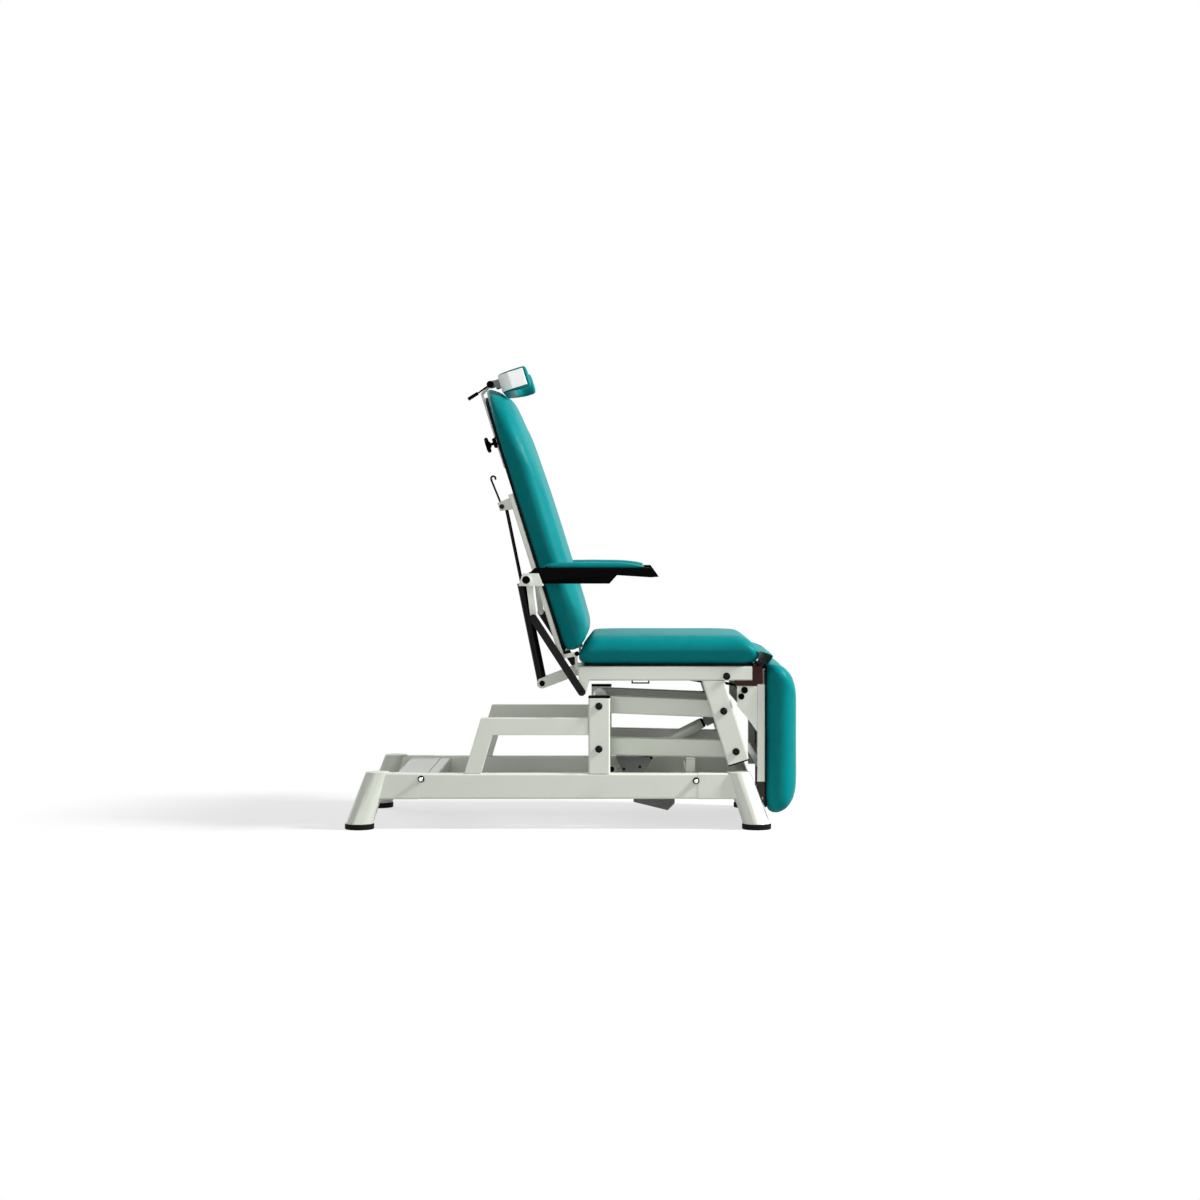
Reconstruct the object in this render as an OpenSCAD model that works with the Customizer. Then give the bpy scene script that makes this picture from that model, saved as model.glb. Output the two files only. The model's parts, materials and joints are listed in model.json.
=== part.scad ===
// Ophthalmic examination chair: side-lift base, reclining back with levelling
// armrests, folding leg rest and a U-shaped head cradle.
// Millimetres. +X points to the leg rest, +Z up; the origin is the middle of the
// footprint, on the floor. The side with the negative Y is the sitter's right.

/* [Cushions] */
// Width of the seat, back and leg cushions
cushion_w = 620; // [560:5:640]
// Length of the seat cushion, rear face to nose
seat_len = 506; // [490:1:512]
// Thickness of the seat cushion at its crown
seat_thick = 82; // [60:1:84]
// Length of the back cushion along the back
back_len = 777; // [765:1:780]
// Thickness of the back cushion at its crown
back_thick = 85; // [60:1:88]
// Length of the leg cushion
leg_len = 418; // [380:1:430]
// Thickness of the leg cushion at its crown
leg_thick = 86.5; // [60:0.5:88]
// Inward pull of the long sides of each cushion
side_pull = 5; // [0:0.5:9]
// Length of the armrest pads
pad_len = 280; // [240:1:290]
// Thickness of the armrest pads at their crown
pad_thick = 16; // [10:1:22]

/* [Base] */
// Height of the base rails
rail_h = 70; // [60:1:74]
// Width of the base rails
rail_w = 40; // [36:1:44]
// Underside of the rails above the floor
rail_z = 84; // [78:1:90]
// Wall of the base tubes
base_wall = 3; // [2:0.5:4]
// Diameter of a foot where it meets its pad
foot_d = 76; // [70:1:79]
// Diameter of a foot at its flat top
foot_top_d = 65; // [56:1:68]
// Diameter of the rubber pads
pad_d = 81; // [80:1:84]
// Height of the rubber pads
pad_h = 15; // [10:1:20]
// Width of a lift post
post_w = 60; // [56:1:64]

/* [Lift] */
// Height of the arm tubes
arm_h = 50; // [46:1:52]
// Width of the arm tubes
arm_w = 30; // [26:1:34]
// Diameter of the round cross tubes between the arms
cross_d = 44; // [40:1:46]
// Diameter of the pivot bolts
bolt_d = 12; // [10:1:14]
// Diameter of the black bolt caps
cap_d = 20; // [18:1:22]
// Diameter of the actuator's outer tube
lift_tube_d = 30; // [28:1:32]
// Diameter of the actuator's inner tube
lift_rod_d = 20; // [16:1:22]

/* [Seat frame] */
// Height of the seat side tubes
seat_tube_h = 40; // [36:1:44]
// Width of the seat side tubes
seat_tube_w = 30; // [26:1:34]
// Wall of the seat, back and leg frame tubes
frame_wall = 2.5; // [2:0.5:3]
// Width of the slanted carriage legs
leg_tube_w = 60; // [56:1:62]
// Thickness of the boards under the cushions
board_t = 6; // [4:0.5:7]

/* [Backrest] */
// Lean of the back from the vertical in the upright position
back_lean = 17.5; // [17:0.5:18]
// Depth of the back frame tubes
back_tube_t = 14; // [12:1:16]
// Width of the back frame tubes
back_tube_w = 30; // [26:1:32]
// Diameter of the gas spring's cylinder
gas_d = 28; // [24:1:30]
// Diameter of the gas spring's rod
gas_rod_d = 10; // [8:1:12]

/* [Head cradle] */
// Outside width of the head cradle
cradle_w = 380; // [340:5:400]
// Depth of the head cradle's wings
cradle_depth = 74; // [68:1:80]
// Height of the head cradle's shell
cradle_h = 48; // [44:1:52]
// Thickness of the head cradle's padding
cradle_pad_t = 30; // [22:1:34]

/* [Armrests] */
// Width of the moulded armrests
armrest_w = 60; // [52:1:60]
// Width of the levelling links
link_w = 21; // [18:1:22]
// Width of the drop arms
drop_w = 16.5; // [14:0.5:18]

/* [Hidden] */
$fn = 32;

// One overrun for every cut, and the clearances between moving pieces
over = 2;
gap = 0.3;
run_gap = 0.05;
side_gap = 0.5;
loose_gap = 3;

// Colours
paint = "#C9CEC6";
vinyl = "#008C8F";
black = "#1B1B1B";
grey = "#8A8D8C";

// Where the seat cushion starts and ends, and a side-view point at its end
seat_cushion_x = 17;
seat_end = seat_cushion_x + seat_len;
seat_at = [seat_end, 0];
seat_pair = [seat_end, seat_end];

// Base: rails, sleeves and cross members, narrower than the cushions
base_inset = 10;
front_foot_in = 11;
front_foot_x = seat_end - front_foot_in;
front_seam_in = 161.5;
front_tube_in = 193;
rail_span = cushion_w - 2 * base_inset;
rail_y = rail_span / 2 - rail_w / 2;
rail_in = rail_span / 2 - rail_w;
rail_top = rail_z + rail_h;
rail_rear_seam = -424;
rail_front_seam = front_foot_x - front_seam_in;
sleeve_proud = 1;
corner_r = 5;
rear_tube_x = -402;
rear_tube_w = 30;
front_tube_x = front_foot_x - front_tube_in;
front_tube_w = 26;
mid_tube_x = 52;
mid_tube_w = 40;
cross_tube_h = 40;
cross_tube_drop = 4;
plate_len = 85;
plate_t = 3;
plate_lip = 18;

// Feet: each leans inwards from its pad
rear_foot_x = -586;
foot_lean = 50;
foot_top_z = 158;
foot_y = rail_y;
foot_splay = 6;
foot_slice = 1;
pad_chamfer = 2;

// Subframe on each rail, from the slanted strut to the post
sub_inset = 2;
sub_z0 = 260;
sub_h = 47;
sub_foot_x = -296;
sub_foot_w = 46.5;
sub_slant_share = 0.302;

// Posts
post_x = 47;
post_top_z = 362;
post_cap_h = 6;
post_cap_plug = 12;

// Lift linkage pivots, side view; the front ones follow the seat's front end
low_rear = [76, 222];
low_front_off = [-68, 214];
low_front = seat_at + low_front_off;
up_rear = [76, 340];
up_front_off = [-102, 326];
up_front = seat_at + up_front_off;
arm_clear = 60;
arm_wall = 3;
cross_wall = 3;
bush_len = 40;
arm_out = rail_in - arm_clear;
cross_len = 2 * (rail_in - side_gap);
cap_t = 6;
shank_in = 34;

// Lift actuator, side view
lift_foot = [109, 142];
lift_head_off = [-21, -38];
lift_head = up_front + lift_head_off;
lift_lug_t = 6;
lift_lug_y = 24;
lift_lug_r = 14;
lift_pin_d = 10;
lift_eye_r = 12;
lift_tube_short = 75.6;
lift_tube_len = dist(lift_foot, lift_head) - lift_tube_short;
lift_tube_wall = 3;
lift_rod_tuck = lift_tube_len * 0.58;
lift_guide_len = 14;
head_lug_t = 20;
head_lug_r = 15;
head_lug_half = 12;
head_ear_t = 5;
head_ear_r = 14;
head_stub_r = 8;
head_neck = 26;
gear_half = 34;
gear_top_z = 176;
gear_low_z = 128;
gear_x = [122, 228];
gear_low_x = [142, 199];
motor_half = 38;
motor_x = [172, 290];
motor_low_z = 25;
motor_chamfer = [12, 20];
motor_rise = 24;

// Stop posts under the lower arms
stop_w = 24;
stop_y = arm_out - (arm_w + stop_w) / 2;
stop_buffer_h = 8;
stop_slope = 0.6;

// Studs on the rails
stud_rear = [-414.6, 139.4];
stud_front_off = [-6.1, 134.7];
stud_front = [rail_front_seam, 0] + stud_front_off;
stud_ring_r = 9.5;
stud_ring_t = 3;
stud_r = 5.5;
stud_len = 12;

// Seat frame
seat_z = 450;
seat_tube_z = seat_z - seat_tube_h;
seat_frame_inset = 20;
seat_tube_y = cushion_w / 2 - seat_frame_inset;
seat_tube_in = seat_tube_y - seat_tube_w;
seat_rear_x = 20;
seat_front_in = 23;
seat_front_x = seat_end - seat_front_in;
seat_cross_w = 30;
seat_mid_in = 376;
seat_mid_x = seat_end - seat_mid_in;
seat_fore_in = 50;
seat_fore_x = seat_front_x - seat_fore_in;
seat_fore_h = 30;
block_out = 6;
block_end_x = seat_end + block_out;
block_low_z = 403;
strip_off = [-71, -12];
strip_x = seat_pair + strip_off;
strip_z = 396.5;
lug_t = 6;
lug_x = [21, 48];
lug_r = 11;

// Pivots of the back, the leg rest and the levelling links
back_pivot = [15, 484];
arm_pivot = [-118, 688];
link_low = [28.4, 378.9];
link_top = link_low + arm_pivot - back_pivot;
leg_pivot_off = [11, 449];
leg_pivot = seat_at + leg_pivot_off;
hinge_r = 6.5;
hinge_pin_d = 6;
hinge_plate_t = 6;
hinge_inset = 28;
hinge_plate_y = seat_tube_y - hinge_inset;
hinge_ear_x = 6;
hinge_ear_back = 5;
leg_ear_r = 5.5;
leg_plate_inset = 37;
leg_plate_y = seat_tube_y - leg_plate_inset;

// Carriage legs
carriage_lean = 17.35;
carriage_foot_off = [-61, 185];
carriage_foot = seat_at + carriage_foot_off;
carriage_cap_t = 4;
seat_bolt_off = [-94, 422.5];
seat_bolt = seat_at + seat_bolt_off;

// Seat cushion and board
seat_board_inset = 9;

// Wire handle under the seat tube
wire_d = 4;
wire_x = [168, 214];
wire_drop = 7;
wire_y = seat_tube_y - seat_tube_w / 2;

// Back frame: local X points to the front, local Z up the back
back_ref = [18, 487];
back_rear = -39;
back_cushion_u = 8;
back_top_u = back_cushion_u + back_len;
back_top_at = [0, back_top_u];
back_top_pair = [back_top_u, back_top_u];
back_tube_low = 4;
back_tube_short = 310;
back_tube_u = [back_tube_low, back_top_u - back_tube_short];
back_frame_inset = 12;
back_tube_y = seat_tube_y - back_frame_inset;
back_hinge_half = 6.2;
arm_lug = back_local(arm_pivot);
back_lug_r = 11;
back_lug_t = 8;
back_lug_y = back_tube_y - back_lug_t;
arm_shaft_d = 14;
back_board_inset = 8;
back_corner_r = 200;
back_low_corner_r = 26;

// Back gas spring
gas_low = [-90, 387.5];
gas_top_off = [-80, -330.4];
gas_top = back_top_at + gas_top_off;
gas_cyl_start = 14;
gas_cyl_len = 280;
gas_wall = 2.5;
gas_guide = 12;
gas_tuck = 40;
gas_eye_r = 7;
gas_eye_t = 16;
gas_pin_d = 8;
spring_arm_w = 30;
spring_arm_t = 5;
spring_arm_y = 17;
spring_arm_rise = 21;
bracket_y = 14;
bracket_t = 4;
bracket_off = [-347, -311];
bracket_u = back_top_pair + bracket_off;
bracket_back = -100;
bracket_tube_h = 36;
lever_off = [-91, -329];
lever_at = back_top_at + lever_off;
lever_hub_r = 7;
lever_d = 5;
lever_end_off = [-97, -245];
lever_end = back_top_at + lever_end_off;
lever_rod_d = 4;
lever_grip_w = 40;

// Head cradle and its post, in the back frame
guide_off = [-167, -130];
guide_u = back_top_pair + guide_off;
guide_w = 60;
guide_rear = -60;
bar_w = 40;
bar_t = 6;
bar_rear = -52;
bar_tail = 58;
bar_low_u = guide_u[0] - bar_tail;
bar_bend_drop = 3;
bar_bend_u = back_top_u - bar_bend_drop;
tilt_off = [-16.9, 14.8];
tilt_at = back_top_at + tilt_off;
tilt_r = 8;
tilt_pin_d = 8;
screw_d = 8;
knob_r = 16;
knob_lobe_r = 7.5;
knob_lobes = 5;
knob_t = 6;
knob_back = -76;
knob_boss_r = 8;
block_ear_t = 6;
block_ear_r = 9;
cradle_back = 14;
block_back = -4;
block_off = [-2, 23];
block_u = back_top_pair + block_off;
cradle_drop = 27;
cradle_u = back_top_u - cradle_drop;
cradle_shell_t = 4;
cradle_r = 34;
cradle_pad_gap = 0.5;
cradle_pad_h = 62;
cradle_pad_drop = 2;
cradle_pad_front = 11;
clamp_hub_r = 10;
clamp_hub_t = 10;
clamp_rod_d = 5;
clamp_grip_d = 10;
clamp_mid_off = [-41.1, -13.8];
clamp_mid = tilt_at + clamp_mid_off;
clamp_end_off = [-73.1, -22.1];
clamp_end = tilt_at + clamp_end_off;

// Armrests
drop_clear = 3;
drop_in = back_tube_y + drop_clear;
drop_t = 10;
link_clear = 2;
link_in = seat_tube_y + link_clear;
link_t = 12;
link_pin_d = 10;
link_head_r = 8;
link_head_t = 4;
bracket_clear = 10;
bracket_in = cushion_w / 2 + bracket_clear;
cheek_t = 4;
cheek_gap = 1;
cheek_x = [-142, -74];
cheek_top_x = [-131, -87];
cheek_z = [673.6, 708];
arm_pin_d = 12;
arm_cap_r = 11;
arm_cap_t = 6;
peg_r = 8;
peg_drop = 8.3;
peg_x = -112.5;
peg_reach = 25;
peg_out = bracket_in + peg_reach;
armrest_top_z = 723;
armrest_low_z = 680;
armrest_rear = [-110, 711];
armrest_back_x = -98;
armrest_tip_x = 224;
armrest_nose = [241, 699];
armrest_lip = [220, 697];
armrest_step = [126.7, 703];
armrest_step_x = 106;
armrest_boss_r = 8;
armrest_root_x = -114;
arm_pad_x = -76;
arm_pad_proud = 2;

// Leg rest, hanging
leg_tube_in = 20;
leg_tube_x = leg_pivot[0] - leg_tube_in;
leg_tube_t = 21;
leg_frame_w = 24;
leg_frame_out = seat_tube_y - link_clear;
leg_tube_z = [131, 400];
leg_board_x = leg_tube_x + leg_tube_t;
leg_board_t = 5;
leg_cushion_z = 40;
leg_board_inset = 18;
gusset_t = 5;
gusset_in = 76;
gusset_x = leg_pivot[0] - gusset_in;
gusset_z = [340, 395];
gusset_step_off = [-47, 306];
gusset_step = [leg_pivot[0], 0] + gusset_step_off;
gusset_low_z = 268;
gusset_round = 26;
leg_cross_z = [180, 366];
leg_cross_h = 30;

// Leg gas spring under the seat
leg_gas_off = [-58, 380];
leg_gas_front = [leg_pivot[0], 0] + leg_gas_off;
leg_gas_span = [-286, 50];
leg_gas_rear = leg_gas_front + leg_gas_span;
leg_gas_d = 22;
leg_gas_rod_d = 8;
leg_gas_len = 215;
leg_gas_wall = 2;
leg_gas_tuck = 145;
leg_ear_t = 5;
leg_ear_y = 14;
leg_fork_y = 20;
leg_ear_half = 9;
leg_eye_t = 18;
leg_head_r = 12;
leg_grip_off = [17, -12];
leg_grip = leg_gas_front + leg_grip_off;
leg_grip_r = 7;
leg_grip_t = 8;
leg_grip_d = 6;
leg_grip_drop = [-2, -50];
leg_grip_end = leg_gas_front + leg_grip_drop;
leg_grip_len = 60;

// Shares that shape the cushions. Each ring is
// [height, front inset, rear inset, side inset], and a ring's insets are
// shares of the edge sizes named with the cushion.
seat_ring_shares = [
    [0.00, 0.38, 0.12, 0.40], [0.06, 0.16, 0.04, 0.16],
    [0.17, 0.03, 0.00, 0.03], [0.30, 0.00, 0.02, 0.00],
    [0.48, 0.12, 0.18, 0.02], [0.63, 0.31, 0.42, 0.10],
    [0.77, 0.58, 0.66, 0.30], [0.88, 0.90, 0.84, 0.66],
    [0.95, 1.34, 1.05, 1.30], [0.99, 2.20, 2.60, 2.90]
];
seat_front_edge = 46;
seat_rear_edge = 40;
seat_side_edge = 26;
seat_corner_r = 30;

back_ring_shares = [
    [0.00, 0.02, 0.50, 0.40], [0.06, 0.00, 0.20, 0.16],
    [0.20, 0.01, 0.06, 0.03], [0.34, 0.05, 0.00, 0.00],
    [0.48, 0.09, 0.16, 0.02], [0.63, 0.16, 0.42, 0.12],
    [0.77, 0.24, 0.80, 0.34], [0.88, 0.52, 1.40, 0.72],
    [0.95, 0.70, 2.30, 1.40], [0.99, 1.04, 4.20, 3.00]
];
back_top_edge = 250;
back_low_edge = 30;
back_side_edge = 26;

leg_ring_shares = [
    [0.00, 0.30, 0.36, 0.40], [0.05, 0.14, 0.16, 0.16],
    [0.15, 0.04, 0.04, 0.03], [0.30, 0.00, 0.00, 0.00],
    [0.50, 0.06, 0.10, 0.03], [0.66, 0.24, 0.30, 0.14],
    [0.80, 0.58, 0.66, 0.38], [0.90, 1.10, 1.20, 0.80],
    [0.96, 1.90, 2.00, 1.50], [0.99, 3.60, 3.60, 3.20]
];
leg_low_edge = 40;
leg_top_edge = 36;
leg_side_edge = 26;
leg_corner_r = 34;

pad_ring_shares = [
    [0.00, 0.10, 0.10, 0.30], [0.20, 0.00, 0.00, 0.00],
    [0.45, 0.20, 0.12, 0.10], [0.72, 0.80, 0.45, 0.60],
    [0.92, 1.70, 1.20, 1.60]
];
pad_front_edge = 40;
pad_rear_edge = 34;
pad_side_edge = 7;
pad_corner_r = 22;

// Lateral place of the bodies that follow one side of the chair
module on_side(side) {
    if (side > 0) children();
    else mirror([0, 1, 0]) children();
}

module two_sides() {
    children();
    mirror([0, 1, 0]) children();
}

// Extrudes an outline drawn in X and Z from y0 to y1
module side_solid(y0, y1) {
    translate([0, y1, 0]) rotate([90, 0, 0]) linear_extrude(y1 - y0) children();
}

// A cylinder along Y at a side-view point
module y_rod(at, r, y0, y1) {
    translate([at[0], y1, at[1]]) rotate([90, 0, 0]) cylinder(r = r, h = y1 - y0);
}

// Rounded rectangle, centred
module round_rect(w, h, r) {
    square([w - 2 * r, h], center = true);
    square([w, h - 2 * r], center = true);
    for (sx = [-1, 1], sy = [-1, 1])
        translate([sx * (w / 2 - r), sy * (h / 2 - r)]) circle(r = r);
}

// Section of a rectangular tube, centred
module tube_section(w, h, wall, r) {
    difference() {
        round_rect(w, h, r);
        round_rect(w - 2 * wall, h - 2 * wall, max(r - wall, wall / 4));
    }
}

// Rectangular tube along X, from x0 to x1, centred at y and z
module tube_x(x0, x1, y, z, w, h, wall) {
    translate([x0, y, z]) rotate([90, 0, 90])
        linear_extrude(x1 - x0) tube_section(w, h, wall, corner_r);
}

// Rectangular tube along Y, centred on the middle plane
module tube_y(len, x, z, w, h, wall) {
    translate([x, 0, z]) rotate([90, 0, 0])
        linear_extrude(len, center = true) tube_section(w, h, wall, corner_r);
}

// Places children with local Z running from one side-view point to another
module along(from, to) {
    translate([from[0], 0, from[1]])
        rotate([0, atan2(to[0] - from[0], to[1] - from[1]), 0]) children();
}

// Places children in the back's own frame
module in_back() {
    translate([back_ref[0], 0, back_ref[1]]) rotate([0, -back_lean, 0]) children();
}

function dist(a, b) = norm([a[0] - b[0], a[1] - b[1]]);

// A point of the back frame as a side-view point
function back_point(n, u) = [
    back_ref[0] - u * sin(back_lean) + n * cos(back_lean),
    back_ref[1] + u * cos(back_lean) + n * sin(back_lean)
];

// Outline of one cushion ring: a rounded rectangle from x0 to x1 whose long
// sides are drawn in between the corners
ring_side_steps = 6;
ring_end_steps = 5;
ring_corner_steps = 4;

function corner_arc(cx, cy, rx, ry, a0) = [
    for (i = [0 : ring_corner_steps])
        let (a = a0 + 90 * i / ring_corner_steps)
        [cx + rx * cos(a), cy + ry * sin(a)]
];

function ring(x0, x1, half, r0, r1, pull) = let (
    front = min(r1, half * 0.9, (x1 - x0) * 0.45),
    rear = min(r0, half * 0.9, (x1 - x0) * 0.45),
    left = x0 + rear,
    right = x1 - front
) concat(
    corner_arc(right, half - front, front, front, 0),
    [for (i = [1 : ring_side_steps - 1]) let (t = i / ring_side_steps)
        [right + (left - right) * t, half - pull * 4 * t * (1 - t)]],
    corner_arc(left, half - rear, rear, rear, 90),
    [for (i = [1 : ring_end_steps - 1]) let (t = i / ring_end_steps)
        [x0, (half - rear) * (1 - 2 * t)]],
    corner_arc(left, rear - half, rear, rear, 180),
    [for (i = [1 : ring_side_steps - 1]) let (t = i / ring_side_steps)
        [left + (right - left) * t, pull * 4 * t * (1 - t) - half]],
    corner_arc(right, front - half, front, front, 270),
    [for (i = [1 : ring_end_steps - 1]) let (t = i / ring_end_steps)
        [x1, (half - front) * (2 * t - 1)]]
);

// Crowned cushion: length along X, width along Y, crown along Z. The edges are
// the sizes that the shares of each ring multiply.
module cushion(len, wide, thick, shares, edge_front, edge_rear, edge_side,
               r_front, r_rear, pull) {
    rings = [
        for (s = shares)
            let (
                side = s[3] * edge_side,
                pts = ring(s[2] * edge_rear, len - s[1] * edge_front,
                           wide / 2 - side, r_rear, r_front, pull)
            )
            [for (p = pts) [p[0], p[1], s[0] * thick]]
    ];
    n = len(rings[0]);
    k = len(rings);
    last = rings[k - 1];
    top = [(min([for (p = last) p[0]]) + max([for (p = last) p[0]])) / 2, 0, thick];
    base = [len / 2, 0, 0];
    points = concat([for (r = rings) for (p = r) p], [top, base]);
    sides = [
        for (j = [0 : k - 2], i = [0 : n - 1], half = [0, 1])
            let (a = j * n + i, b = j * n + (i + 1) % n)
            half == 0 ? [a, b + n, b] : [a, a + n, b + n]
    ];
    caps = [
        for (i = [0 : n - 1], end = [0, 1])
            let (j = (i + 1) % n)
            end == 0 ? [(k - 1) * n + i, k * n, (k - 1) * n + j] : [i, j, k * n + 1]
    ];
    polyhedron(points = points, faces = concat(sides, caps), convexity = 4);
}

// Base

module foot_form(x, lean, shrink, low, high) {
    for (side = [-1, 1])
        hull() {
            translate([x, side * (foot_y + foot_splay), low])
                cylinder(d = foot_d - 2 * shrink, h = foot_slice);
            translate([x + lean, side * foot_y, high - foot_slice])
                cylinder(d = foot_top_d - 2 * shrink, h = foot_slice);
        }
}

module feet() {
    color(paint) {
        foot_form(rear_foot_x, foot_lean, 0, pad_h, foot_top_z);
        foot_form(front_foot_x, -foot_lean, 0, pad_h, foot_top_z);
    }
}

module foot_pads() {
    color(black)
        for (x = [rear_foot_x, front_foot_x], side = [-1, 1])
            translate([x, side * (foot_y + foot_splay), 0]) {
                cylinder(d1 = pad_d - 2 * pad_chamfer, d2 = pad_d, h = pad_chamfer, $fn = 48);
                translate([0, 0, pad_chamfer])
                    cylinder(d = pad_d, h = pad_h - pad_chamfer, $fn = 48);
            }
}

module side_rails() {
    color(paint) two_sides()
        tube_x(rail_rear_seam, rail_front_seam, rail_y, rail_z + rail_h / 2,
               rail_w, rail_h, base_wall);
}

module sleeve(x0, x1) {
    two_sides()
        tube_x(x0, x1, rail_y, rail_z + rail_h / 2, rail_w + 2 * sleeve_proud,
               rail_h + 2 * sleeve_proud, base_wall + sleeve_proud);
}

module rail_sleeves() {
    color(paint) difference() {
        union() {
            sleeve(rear_foot_x + foot_lean, rail_rear_seam);
            sleeve(rail_front_seam, front_foot_x - foot_lean);
        }
        foot_form(rear_foot_x, foot_lean, 0, pad_h, foot_top_z);
        foot_form(front_foot_x, -foot_lean, 0, pad_h, foot_top_z);
        two_sides() for (p = [stud_rear, stud_front])
            y_rod(p, stud_ring_r, rail_span / 2 - sleeve_proud, rail_span / 2 + over);
    }
}

module lift_foot_lugs() {
    for (side = [-1, 1])
        translate([0, side * (lift_lug_y + lift_lug_t / 2), 0])
            difference() {
                side_solid(-lift_lug_t / 2, lift_lug_t / 2) {
                    translate(lift_foot) circle(r = lift_lug_r);
                    polygon([
                        [mid_tube_x + mid_tube_w, rail_top - cross_tube_drop - cross_tube_h],
                        [lift_foot[0] + lift_lug_r, lift_foot[1]],
                        [lift_foot[0], lift_foot[1] + lift_lug_r],
                        [mid_tube_x + mid_tube_w, rail_top - cross_tube_drop]
                    ]);
                }
                y_rod(lift_foot, lift_pin_d / 2 + run_gap, -lift_lug_t, lift_lug_t);
            }
}

module base_cross_tubes() {
    mid_z = rail_top - cross_tube_drop - cross_tube_h / 2;
    color(paint) {
        for (t = [[rear_tube_x, rear_tube_w], [mid_tube_x, mid_tube_w],
                  [front_tube_x, front_tube_w]])
            tube_y(2 * rail_in, t[0] + t[1] / 2, mid_z, t[1], cross_tube_h, base_wall);
        lift_foot_lugs();
    }
}

module rear_cross_plate() {
    top = rail_top - cross_tube_drop;
    half = rail_in - sleeve_proud;
    color(paint) translate([rear_tube_x - plate_len, -half, 0]) {
        translate([0, 0, top - plate_t]) cube([plate_len, 2 * half, plate_t]);
        translate([0, 0, top - plate_lip]) cube([plate_t, 2 * half, plate_lip - plate_t / 2]);
    }
}

// Side view of a bent subframe; grow is 0 for the outside and the wall inside
module sub_outline(grow) {
    skew = sub_slant_share;
    inset = grow * norm([1, skew]);
    low = rail_top - (grow > 0 ? over : 0);
    end = post_x + (grow > 0 ? over : 0);
    left = function(z) sub_foot_x + inset + skew * (z - rail_top);
    right = function(z) sub_foot_x + sub_foot_w - inset + skew * (z - rail_top);
    polygon([
        [left(low), low], [left(sub_z0 + sub_h - grow), sub_z0 + sub_h - grow],
        [end, sub_z0 + sub_h - grow], [end, sub_z0 + grow],
        [right(sub_z0 + grow), sub_z0 + grow], [right(low), low]
    ]);
}

module subframes() {
    color(paint) two_sides() difference() {
        side_solid(rail_in + sub_inset, rail_in + rail_w - sub_inset) sub_outline(0);
        side_solid(rail_in + sub_inset + base_wall,
                   rail_in + rail_w - sub_inset - base_wall) sub_outline(base_wall);
    }
}

module posts() {
    color(paint) two_sides() difference() {
        translate([post_x + post_w / 2, rail_y, rail_top])
            linear_extrude(post_top_z - rail_top)
                tube_section(post_w, rail_w, base_wall, corner_r);
        for (p = [low_rear, up_rear])
            y_rod(p, bolt_d / 2 + run_gap, rail_in - over, rail_in + rail_w + over);
    }
}

// Caps on the posts and rubber buffers on the stop posts
module base_caps() {
    color(black) two_sides() {
        translate([post_x + post_w / 2, rail_y, post_top_z]) {
            linear_extrude(post_cap_h) round_rect(post_w, rail_w, corner_r);
            translate([0, 0, -post_cap_plug]) linear_extrude(post_cap_plug)
                round_rect(post_w - 2 * (base_wall + gap), rail_w - 2 * (base_wall + gap),
                           corner_r - base_wall);
        }
        translate([front_tube_x, stop_y, stop_top()])
            cube([front_tube_w, stop_w, stop_buffer_h - stop_slope]);
    }
}

// Underside of the lower arm over the stop posts, less the buffer
function stop_top() = let (
    t = (front_tube_x + front_tube_w - low_rear[0]) / (low_front[0] - low_rear[0]),
    mid = low_rear[1] + (low_front[1] - low_rear[1]) * t
) mid - arm_h / 2 - stop_buffer_h;

module stop_posts() {
    base = rail_top - cross_tube_drop;
    color(paint) two_sides()
        translate([front_tube_x, stop_y, base])
            cube([front_tube_w, stop_w, stop_top() - base]);
}

module rail_studs() {
    color(grey) two_sides()
        for (p = [stud_rear, stud_front]) {
            y_rod(p, stud_ring_r, rail_span / 2, rail_span / 2 + stud_ring_t);
            y_rod(p, stud_r, rail_span / 2, rail_span / 2 + stud_len);
        }
}

// A side bolt: domed cap outside the face, shank towards the middle
module side_bolt(at, face, shank_end) {
    y_rod(at, bolt_d / 2, shank_end, face);
    translate([at[0], face, at[1]]) rotate([-90, 0, 0]) {
        cylinder(d = cap_d, h = cap_t * 2 / 3);
        translate([0, 0, cap_t * 2 / 3])
            cylinder(d1 = cap_d, d2 = cap_d - cap_t, h = cap_t / 3);
    }
}

module base_bolts() {
    lug_out = lift_lug_y + lift_lug_t;
    color(black) {
        two_sides()
            for (p = [low_rear, up_rear])
                side_bolt(p, rail_span / 2, cross_len / 2 - shank_in);
        y_rod(lift_foot, lift_pin_d / 2, -lug_out, lug_out);
        for (side = [0, 1]) mirror([0, side, 0])
            y_rod(lift_foot, lift_pin_d * 0.8, lug_out, lug_out + lift_lug_t);
    }
}

// Lift arms

module arm_pair(rear, front) {
    color(paint) two_sides() difference() {
        translate([0, arm_out - arm_w / 2, 0]) along(rear, front)
            linear_extrude(dist(rear, front))
                tube_section(arm_h, arm_w, arm_wall, corner_r);
        for (p = [rear, front])
            y_rod(p, cross_d / 2, arm_out - arm_w - over, arm_out + over);
    }
}

// Round tube across the chair with a bush at each end
module pivot_tube(at, bore_r) {
    difference() {
        y_rod(at, cross_d / 2, -cross_len / 2, cross_len / 2);
        y_rod(at, cross_d / 2 - cross_wall, -cross_len / 2 + bush_len,
              cross_len / 2 - bush_len);
        y_rod(at, bore_r, -cross_len / 2 - over, cross_len / 2 + over);
    }
}

module lower_arms() {
    arm_pair(low_rear, low_front);
}

module lower_cross_tubes() {
    color(paint)
        for (p = [low_rear, low_front]) pivot_tube(p, bolt_d / 2 + run_gap);
}

module upper_arms() {
    arm_pair(up_rear, up_front);
}

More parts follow.
